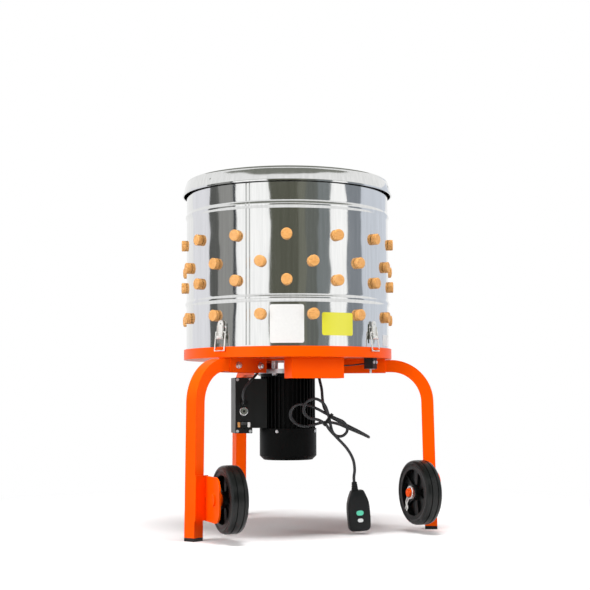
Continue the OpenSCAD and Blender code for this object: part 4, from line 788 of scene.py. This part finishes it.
# Fingers in staggered rows: points on circles, each turned to face outwards
tree, given = node_tree("finger_rows", Form="Object", Count="Int", Radius="Float", Start="Float",
                        Finish="Material")
number = add(tree, "GeometryNodeInputIndex")
per_row = add(tree, "ShaderNodeMath", {0: given["Count"], 1: 0.0}, operation="ADD")
share = add(tree, "ShaderNodeMath", {0: number, 1: per_row}, operation="DIVIDE")
row = add(tree, "ShaderNodeMath", {0: share}, operation="FLOOR")
step = add(tree, "ShaderNodeMath", {0: number, 1: per_row}, operation="MODULO")
parity = add(tree, "ShaderNodeMath", {0: row, 1: 2.0}, operation="MODULO")
shift = add(tree, "ShaderNodeMath", {0: parity, 1: -0.5, 2: 0.5}, operation="MULTIPLY_ADD")
seat = add(tree, "ShaderNodeMath", {0: step, 1: shift}, operation="ADD")
pitch = add(tree, "ShaderNodeMath", {0: 2 * math.pi, 1: per_row}, operation="DIVIDE")
turn = add(tree, "ShaderNodeMath", {0: seat, 1: pitch, 2: given["Start"]}, operation="MULTIPLY_ADD")
height = add(tree, "GeometryNodeIndexSwitch", {"Index": row}, data_type="FLOAT")
while len(height.index_switch_items) < len(ROW_HEIGHTS):
    height.index_switch_items.new()
for k, z in enumerate(ROW_HEIGHTS):
    height.inputs[str(k)].default_value = z
cosine = add(tree, "ShaderNodeMath", {0: turn}, operation="COSINE")
sine = add(tree, "ShaderNodeMath", {0: turn}, operation="SINE")
outward = add(tree, "ShaderNodeCombineXYZ", {"X": cosine, "Y": sine})
x = add(tree, "ShaderNodeMath", {0: cosine, 1: given["Radius"]}, operation="MULTIPLY")
y = add(tree, "ShaderNodeMath", {0: sine, 1: given["Radius"], 2: AXIS_Y}, operation="MULTIPLY_ADD")
spot = add(tree, "ShaderNodeCombineXYZ", {"X": x, "Y": y, "Z": height})
total = add(tree, "ShaderNodeMath", {0: per_row, 1: float(len(ROW_HEIGHTS))}, operation="MULTIPLY")
points = add(tree, "GeometryNodePoints", {"Count": total, "Position": spot})
facing = add(tree, "FunctionNodeAlignRotationToVector", {"Vector": outward}, axis="X", pivot_axis="Z")
form = add(tree, "GeometryNodeObjectInfo", {"Object": given["Form"]})
fingers = add(tree, "GeometryNodeInstanceOnPoints", {"Points": points, "Instance": form.outputs["Geometry"],
                                                     "Rotation": facing})
ended(tree, fingers, given["Finish"])

drum_rubber = grown("drum_rubber_fingers", tree, "frame", "tan_rubber", Form=finger_form, Count=FINGER_COUNT,
                    Radius=DRUM_R, Start=VIEW_TURN, Finish=tan_rubber)
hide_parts("drum_fingers")
bpy.data.objects.remove(finger_form)
dress(tan_rubber, "plate_fingers")


# Four toggle latches hold the drum on the base: levers and bails of steel, nickel plated bright, on stainless
# bases. Each lever turns on a pin in its riveted base, and its wire bail pulls a hook on the ring.
LATCH_TURNS = (-150, -60, 30, 120)
LATCH_Z = 0.466
LEVER_X = 0.2610
LEVER_T = 0.0024
LEVER_HALF = 0.0085
LEVER_TOP = 0.0315
LEVER_FOOT = 0.004
LEVER_EASE = 0.0005
HOLE_R = 0.0022
CHEEK_T = 0.0011
CHEEK_EASE = 0.0002
CHEEK_Y = 0.0079
PIVOT_X = 0.2630
KNUCKLE_SEGMENTS = 20

# Bright nickel: a pale, slightly warm mirror, softened by tumbling marks of 2 mm. It is set as partly
# metallic, which keeps it as pale as on the object.
nickel_plate, tree, skin, where = finish_material("nickel_plated_pressed_steel")
tumble = add(tree, "ShaderNodeTexNoise", {"Vector": where, "Scale": 420, "Detail": 4})
add(tree, "ShaderNodeMix", {"Factor": tumble, "A": hexed("#d6d5d1"), "B": hexed("#f3f2ee")},
    skin.inputs["Base Color"], data_type="RGBA")
add(tree, "ShaderNodeMapRange", {"Value": tumble, "To Min": 0.3, "To Max": 0.48}, skin.inputs["Roughness"])
skin.inputs["Metallic"].default_value = 0.45
dress(nickel_plate, *["latch_bail_%d" % k for k in range(1, 5)])
dress(polished_stainless, "latch_bases")


def pressed(name, outlines, thick, edge, place):
    """A flat plate from closed outlines (the first is its edge, the others are holes), with eased edges."""
    flat = bpy.data.curves.new(name, "CURVE")
    flat.dimensions = "2D"
    flat.fill_mode = "BOTH"
    flat.extrude = thick / 2 - edge
    flat.bevel_depth = edge
    flat.bevel_resolution = 2
    flat.offset = -edge
    for outline in outlines:
        line = flat.splines.new("POLY")
        line.points.add(len(outline) - 1)
        line.use_cyclic_u = True
        for point, (u, v) in zip(line.points, outline):
            point.co = (u, v, 0, 1)
    form = linked(name, flat)
    mesh = bpy.data.meshes.new_from_object(form.evaluated_get(bpy.context.evaluated_depsgraph_get()))
    bpy.data.objects.remove(form)
    mesh.transform(place)
    return linked(name, mesh)


def joined(name, material, *forms):
    """One mesh piece of several forms, which it uses up."""
    shape = bmesh.new()
    for form in forms:
        shape.from_mesh(form.data)
        bpy.data.objects.remove(form)
    mesh = bpy.data.meshes.new(name)
    shape.to_mesh(mesh)
    shape.free()
    mesh.materials.append(material)
    return linked(name, mesh)


def arc(u, v, r, start, stop, steps):
    """Points on a circle's arc, in degrees."""
    turns = [math.radians(start + (stop - start) * k / steps) for k in range(steps + 1)]
    return [(u + r * math.cos(t), v + r * math.sin(t)) for t in turns]


facing_plate = Matrix(((0, 0, 1, LEVER_X), (1, 0, 0, 0), (0, 1, 0, 0), (0, 0, 0, 1)))
across_bar = Matrix.Translation((PIVOT_X, 0, 0)) @ Matrix.Rotation(math.pi / 2, 4, "Z")
plate_edge = [(-LEVER_HALF, LEVER_FOOT), (LEVER_HALF, LEVER_FOOT)] + arc(0, LEVER_TOP, LEVER_HALF, 0, 180, 16)
plate_hole = arc(0, LEVER_TOP, HOLE_R, 360, 0, 4)[:-1]
cheek_edge = [(0.2600, -0.0045), (0.2660, -0.0045), (0.2675, 0.000), (0.2660, 0.007), (0.2645, 0.026),
              (0.2600, 0.028)]
knuckle_profile = [(-0.0074, 0), (-0.0074, 0.0036), (-0.0069, 0.0041), (0.0069, 0.0041), (0.0074, 0.0036),
                   (0.0074, 0)]
for k, turn in enumerate(LATCH_TURNS, 1):
    stand = Matrix.Translation((0, AXIS_Y, LATCH_Z)) @ Matrix.Rotation(math.radians(turn), 4, "Z")
    sides = [pressed("cheek", [cheek_edge], CHEEK_T, CHEEK_EASE,
                     stand @ Matrix(((1, 0, 0, 0), (0, 0, -1, y), (0, 1, 0, 0), (0, 0, 0, 1))))
             for y in (-CHEEK_Y, CHEEK_Y)]
    plate = pressed("lever_face", [plate_edge, plate_hole], LEVER_T, LEVER_EASE, stand @ facing_plate)
    knuckle = turned("knuckle", knuckle_profile, KNUCKLE_SEGMENTS, stand @ across_bar)
    lever = joined("latch_lever_pressing_%d" % k, nickel_plate, plate, knuckle, *sides)
    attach(lever, "lever_%d" % k)
    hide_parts("latch_lever_%d" % k)


# Rivets hold the latch bases and the rim hoop, and bolts with washers hold the legs in their channels.
# The rivets are domed stainless, closed from inside, and the bolts are zinc-plated steel.
fastener_tree, given = node_tree("fasteners", Places="Object", Form="Object", Finish="Material")
seats = add(fastener_tree, "GeometryNodeObjectInfo", {"Object": given["Places"]})
outward = add(fastener_tree, "GeometryNodeInputNamedAttribute", {"Name": "facing"}, data_type="FLOAT_VECTOR")
facing = add(fastener_tree, "FunctionNodeAlignRotationToVector", {"Vector": outward.outputs["Attribute"]},
             axis="X")
form = add(fastener_tree, "GeometryNodeObjectInfo", {"Object": given["Form"]})
heads = add(fastener_tree, "GeometryNodeInstanceOnPoints", {
    "Points": seats.outputs["Geometry"], "Instance": form.outputs["Geometry"], "Rotation": facing})
ended(fastener_tree, heads, given["Finish"])


def fastened(name, places, form, finish, slot):
    """One piece of like fasteners at (point, facing) places, which uses up their form."""
    seats = bpy.data.meshes.new("seats")
    seats.from_pydata([point for point, _ in places], [], [])
    way = seats.attributes.new("facing", "FLOAT_VECTOR", "POINT")
    for item, (_, facing) in zip(way.data, places):
        item.vector = facing
    seat_points = linked("seats", seats)
    piece = grown(name, fastener_tree, "frame", slot, Places=seat_points, Form=form, Finish=finish)
    bpy.data.objects.remove(seat_points)
    bpy.data.objects.remove(form)
    return piece


def around(turn, point, facing):
    """A place given on the +X side, turned about the machine's axis by degrees."""
    spin = Matrix.Rotation(math.radians(turn), 4, "Z")
    return Vector((0, AXIS_Y, 0)) + spin @ Vector(point), spin @ Vector(facing)


RIM_RIVETS = 3
RIM_RIVET_TURN = -45
RIM_RIVET_Z = 0.8475
RIVET_SINK = 0.0003
RIVET_SEGMENTS = 24
BASE_T = 0.0015
BASE_RIVET_Y = 0.0115
BASE_RIVET_UP = 0.025
lean = math.atan2(RIM_R - RIM_NECK, roll_z - skirt_z)
skirt_r = RIM_R - (RIM_RIVET_Z - skirt_z) * math.tan(lean)
rivet_places = [around(math.degrees(VIEW_TURN) + RIM_RIVET_TURN + 360 / RIM_RIVETS * k,
                       (skirt_r - RIVET_SINK, 0, RIM_RIVET_Z), (math.cos(lean), 0, math.sin(lean)))
                for k in range(RIM_RIVETS)]
rivet_places += [around(turn, (DRUM_R + BASE_T, side * BASE_RIVET_Y, LATCH_Z + BASE_RIVET_UP), (1, 0, 0))
                 for turn in LATCH_TURNS for side in (-1, 1)]
dome = turned("rivet_dome", [(-0.001, 0), (-0.001, 0.0035), (0.0004, 0.0035), (0.0011, 0.0031),
                             (0.0017, 0.0022), (0.002, 0.0011), (0.0021, 0)], RIVET_SEGMENTS)
rivets = fastened("domed_rivets", rivet_places, dome, polished_stainless, "polished_steel")
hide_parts("drum_rivets")

LEG_TURNS = (210, 330, 90)
CHEEK_OUT = 0.0177
BOLT_Z = 0.4005
BOLT_RADII = (0.134, 0.217)
WASHER_SEGMENTS = 32
HEXAGON_SIDES = 6
SHANK_SEGMENTS = 20
bolt_places = [around(turn, (r, side * CHEEK_OUT, BOLT_Z), (0, side, 0))
               for turn in LEG_TURNS for r in BOLT_RADII for side in (-1, 1)]
washer = turned("washer", [(0, 0.0085), (0.0012, 0.0085), (0.0015, 0.0082), (0.0015, 0.004), (0, 0.004)],
                WASHER_SEGMENTS, loop=True)
hexagon = turned("hexagon", [(0.0014, 0), (0.0014, 0.0072), (0.0058, 0.0075), (0.0064, 0.0066),
                             (0.0064, 0)], HEXAGON_SIDES)
shank = turned("shank", [(0.0060, 0), (0.0060, 0.0040), (0.0083, 0.0040), (0.0088, 0.0035), (0.0088, 0)],
               SHANK_SEGMENTS)
bolt_head = joined("bolt_head", zinc_plate, washer, hexagon, shank)
bolts = fastened("leg_bolt_heads", bolt_places, bolt_head, zinc_plate, "zinc_steel")
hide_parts("leg_bolts")


# Each wheel's tyre is solid black rubber, moulded with a ridged side wall and two grooves round its tread.
# A zinc-plated washer keeps the wheel on its stub axle, with a sprung wire clip of one turn and two legs.
WHEEL_X = 0.242939
KEEPER_X = 0.21594
AXLE_AHEAD = 0.239
AXLE_Z = 0.095
CLIP_WIRE = 0.0034
CLIP_LEAN = 0.004
CLIP_STEPS = 4
WASHER_OFF = 0.0045
TYRE_SEGMENTS = 96
KEEPER_SEGMENTS = 40

# Half a tyre's profile and a clip's route, in millimetres
CLIP_R = 14.2
tyre_half = [(-19.4, 64), (-20.2, 65.2), (-20.4, 66.6), (-19.8, 67.2), (-20.4, 67.9), (-20.4, 69.4),
             (-19.7, 70.1), (-20.0, 71.2), (-19.2, 73.0), (-17.6, 74.7), (-15.2, 75.9), (-12.0, 76.6),
             (-9.4, 76.8), (-8.7, 74.8), (-7.2, 74.8), (-6.5, 76.9), (-3.0, 77.0)]
tyre_profile = [(u / 1000, r / 1000) for u, r in tyre_half + [(-u, r) for u, r in reversed(tyre_half)]]
clip_route = ([(27, -40), (21, -31), (23, -22), (15, -12)] + arc(0, 0, CLIP_R, -36, 284, 16)
              + [(7, -19), (12, -27), (9, -36), (14, -43)])
for label, side in (("left", -1), ("right", 1)):
    hub_centre = Vector((side * WHEEL_X, AXIS_Y - AXLE_AHEAD, AXLE_Z))
    tread = turned("tyre_tread_" + label, tyre_profile, TYRE_SEGMENTS, Matrix.Translation(hub_centre),
                   loop=True)
    tread.data.materials.append(moulded_rubber)
    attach(tread, "wheel_" + label)
    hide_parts("tyre_" + label)
    axle_end = Vector((side * KEEPER_X, AXIS_Y - AXLE_AHEAD, AXLE_Z))
    count = len(clip_route) - 1
    bend = [axle_end + Vector((side * CLIP_LEAN * (0.5 - k / count), u / 1000, v / 1000))
            for k, (u, v) in enumerate(clip_route)]
    clip = tube_curve("wheel_clip_" + label, smooth_path(bend, CLIP_STEPS), CLIP_WIRE, nickel_plate)
    washer_place = Matrix.Translation(axle_end + Vector((side * WASHER_OFF, 0, 0)))
    washer = turned("wheel_washer_" + label, [(-0.001, 0.0152), (0.001, 0.0152), (0.0013, 0.0149),
                                              (0.0013, 0.0105), (-0.001, 0.0105)], KEEPER_SEGMENTS,
                    washer_place, loop=True)
    washer.data.materials.append(zinc_plate)
    for piece in (clip, washer):
        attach(piece, "frame")
        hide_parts("wheel_keepers")


# Plain stickers on the drum: gloss vinyl film, two white and one yellow, with nothing printed on them.
# The yellow one lies between the two white ones. The film's faint unevenness is 5 mm.
YELLOW_FROM = -0.045
YELLOW_TO = 0.1
vinyl_film, tree, skin, where = finish_material("gloss_vinyl_film")
across = add(tree, "ShaderNodeSeparateXYZ", {"Vector": where})
past = add(tree, "ShaderNodeMath", {0: across.outputs["X"], 1: YELLOW_FROM}, operation="GREATER_THAN")
before = add(tree, "ShaderNodeMath", {0: across.outputs["X"], 1: YELLOW_TO}, operation="LESS_THAN")
yellow = add(tree, "ShaderNodeMath", {0: past, 1: before}, operation="MULTIPLY")
film = add(tree, "ShaderNodeTexNoise", {"Vector": where, "Scale": 200, "Detail": 2})
white = add(tree, "ShaderNodeMix", {"Factor": film, "A": hexed("#dfdedc"), "B": hexed("#e8e7e5")},
            data_type="RGBA")
add(tree, "ShaderNodeMix", {"Factor": yellow, "A": white, "B": hexed("#dcd730")},
    skin.inputs["Base Color"], data_type="RGBA")
skin.inputs["Roughness"].default_value = 0.3
dress(vinyl_film, "drum_labels")


# The switch panel's controls, the plug's buttons and its blades: chrome, coloured plastics and plated brass.
# The button and the rocker sit in the panel, and the plug's two buttons sit in its face.
def flecked(name, colour, depth, scale, rough, metal=0):
    """A small piece's finish: one colour, with flecks at a share of its brightness."""
    material, tree, skin, where = finish_material(name)
    speck = add(tree, "ShaderNodeTexNoise", {"Vector": where, "Scale": scale, "Detail": 3})
    dark = [c * depth for c in hexed(colour)[:3]] + [1]
    add(tree, "ShaderNodeMix", {"Factor": speck, "A": dark, "B": hexed(colour)}, skin.inputs["Base Color"],
        data_type="RGBA")
    skin.inputs["Roughness"].default_value = rough
    skin.inputs["Metallic"].default_value = metal
    return material


# Chrome is a clear mirror and gloss ABS has a soft one. Their flecks are finger marks and flow of 2 mm.
for name, colour, rough, metal, pieces in [
        ("bright_chrome_plate", "#dedfe0", 0.08, 1, ["push_button"]),
        ("black_gloss_abs", "#101112", 0.25, 0, ["rocker"]),
        ("green_gloss_abs", "#62d6b2", 0.35, 0, ["plug_test_button"]),
        ("white_gloss_abs", "#e6e8e8", 0.35, 0, ["plug_reset_button"]),
        ("nickel_plated_brass", "#cfc6a2", 0.2, 1, ["plug_blades"])]:
    dress(flecked(name, colour, depth=0.85, scale=500, rough=rough, metal=metal), *pieces)


# The button has a chromed bezel round it and a dark boss in its middle, and two moulded nylon blocks stand
# beside the rocker. The bezel and the blocks snap into the panel from its front.
PANEL_FACE = 0.045
PANEL_X = 0.118
BUTTON_Z = 0.290
ROCKER_Z = 0.257
BLOCK_OFF = 0.0125
BLOCK_HALF = (0.002, 0.005)
BLOCK_CORNER = 0.0012
BLOCK_T = 0.002
BLOCK_EASE = 0.0004
BEZEL_SEGMENTS = 40
BOSS_SEGMENTS = 24
on_panel = at_axis @ box_turn @ Matrix(((0, 0, 1, PANEL_X), (1, 0, 0, PANEL_FACE), (0, 1, 0, BUTTON_Z),
                                        (0, 0, 0, 1)))
bezel = turned("button_bezel", [(0.0026, 0.0106), (0.0030, 0.0102), (0.0036, 0.0092), (0.0034, 0.0078),
                                (0.0026, 0.0074)], BEZEL_SEGMENTS, on_panel, loop=True)
boss = turned("button_boss", [(0.0044, 0), (0.0044, 0.0034), (0.0049, 0.0030), (0.0051, 0.0018), (0.0051, 0)],
              BOSS_SEGMENTS, on_panel)
bezel.data.materials.append(bpy.data.materials["bright_chrome_plate"])
boss.data.materials.append(bpy.data.materials["black_gloss_abs"])
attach(bezel, "frame")
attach(boss, "push_button")
beside_rocker = at_axis @ box_turn @ Matrix(((1, 0, 0, PANEL_X), (0, 0, -1, PANEL_FACE + BLOCK_T / 2),
                                             (0, 1, 0, ROCKER_Z), (0, 0, 0, 1)))
for label, off, colour in (("tan", BLOCK_OFF, "#c98d4e"), ("white", -BLOCK_OFF, "#e8e8e6")):
    corners = [arc(off + su * BLOCK_HALF[0], sv * BLOCK_HALF[1], BLOCK_CORNER, start, start + 90, 4)
               for su, sv, start in ((1, 1, 0), (-1, 1, 90), (-1, -1, 180), (1, -1, 270))]
    block = pressed(label + "_rocker_block", [sum(corners, [])], BLOCK_T, BLOCK_EASE, beside_rocker)
    block.data.materials.append(flecked(label + "_moulded_nylon", colour, depth=0.8, scale=600, rough=0.4))
    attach(block, "frame")
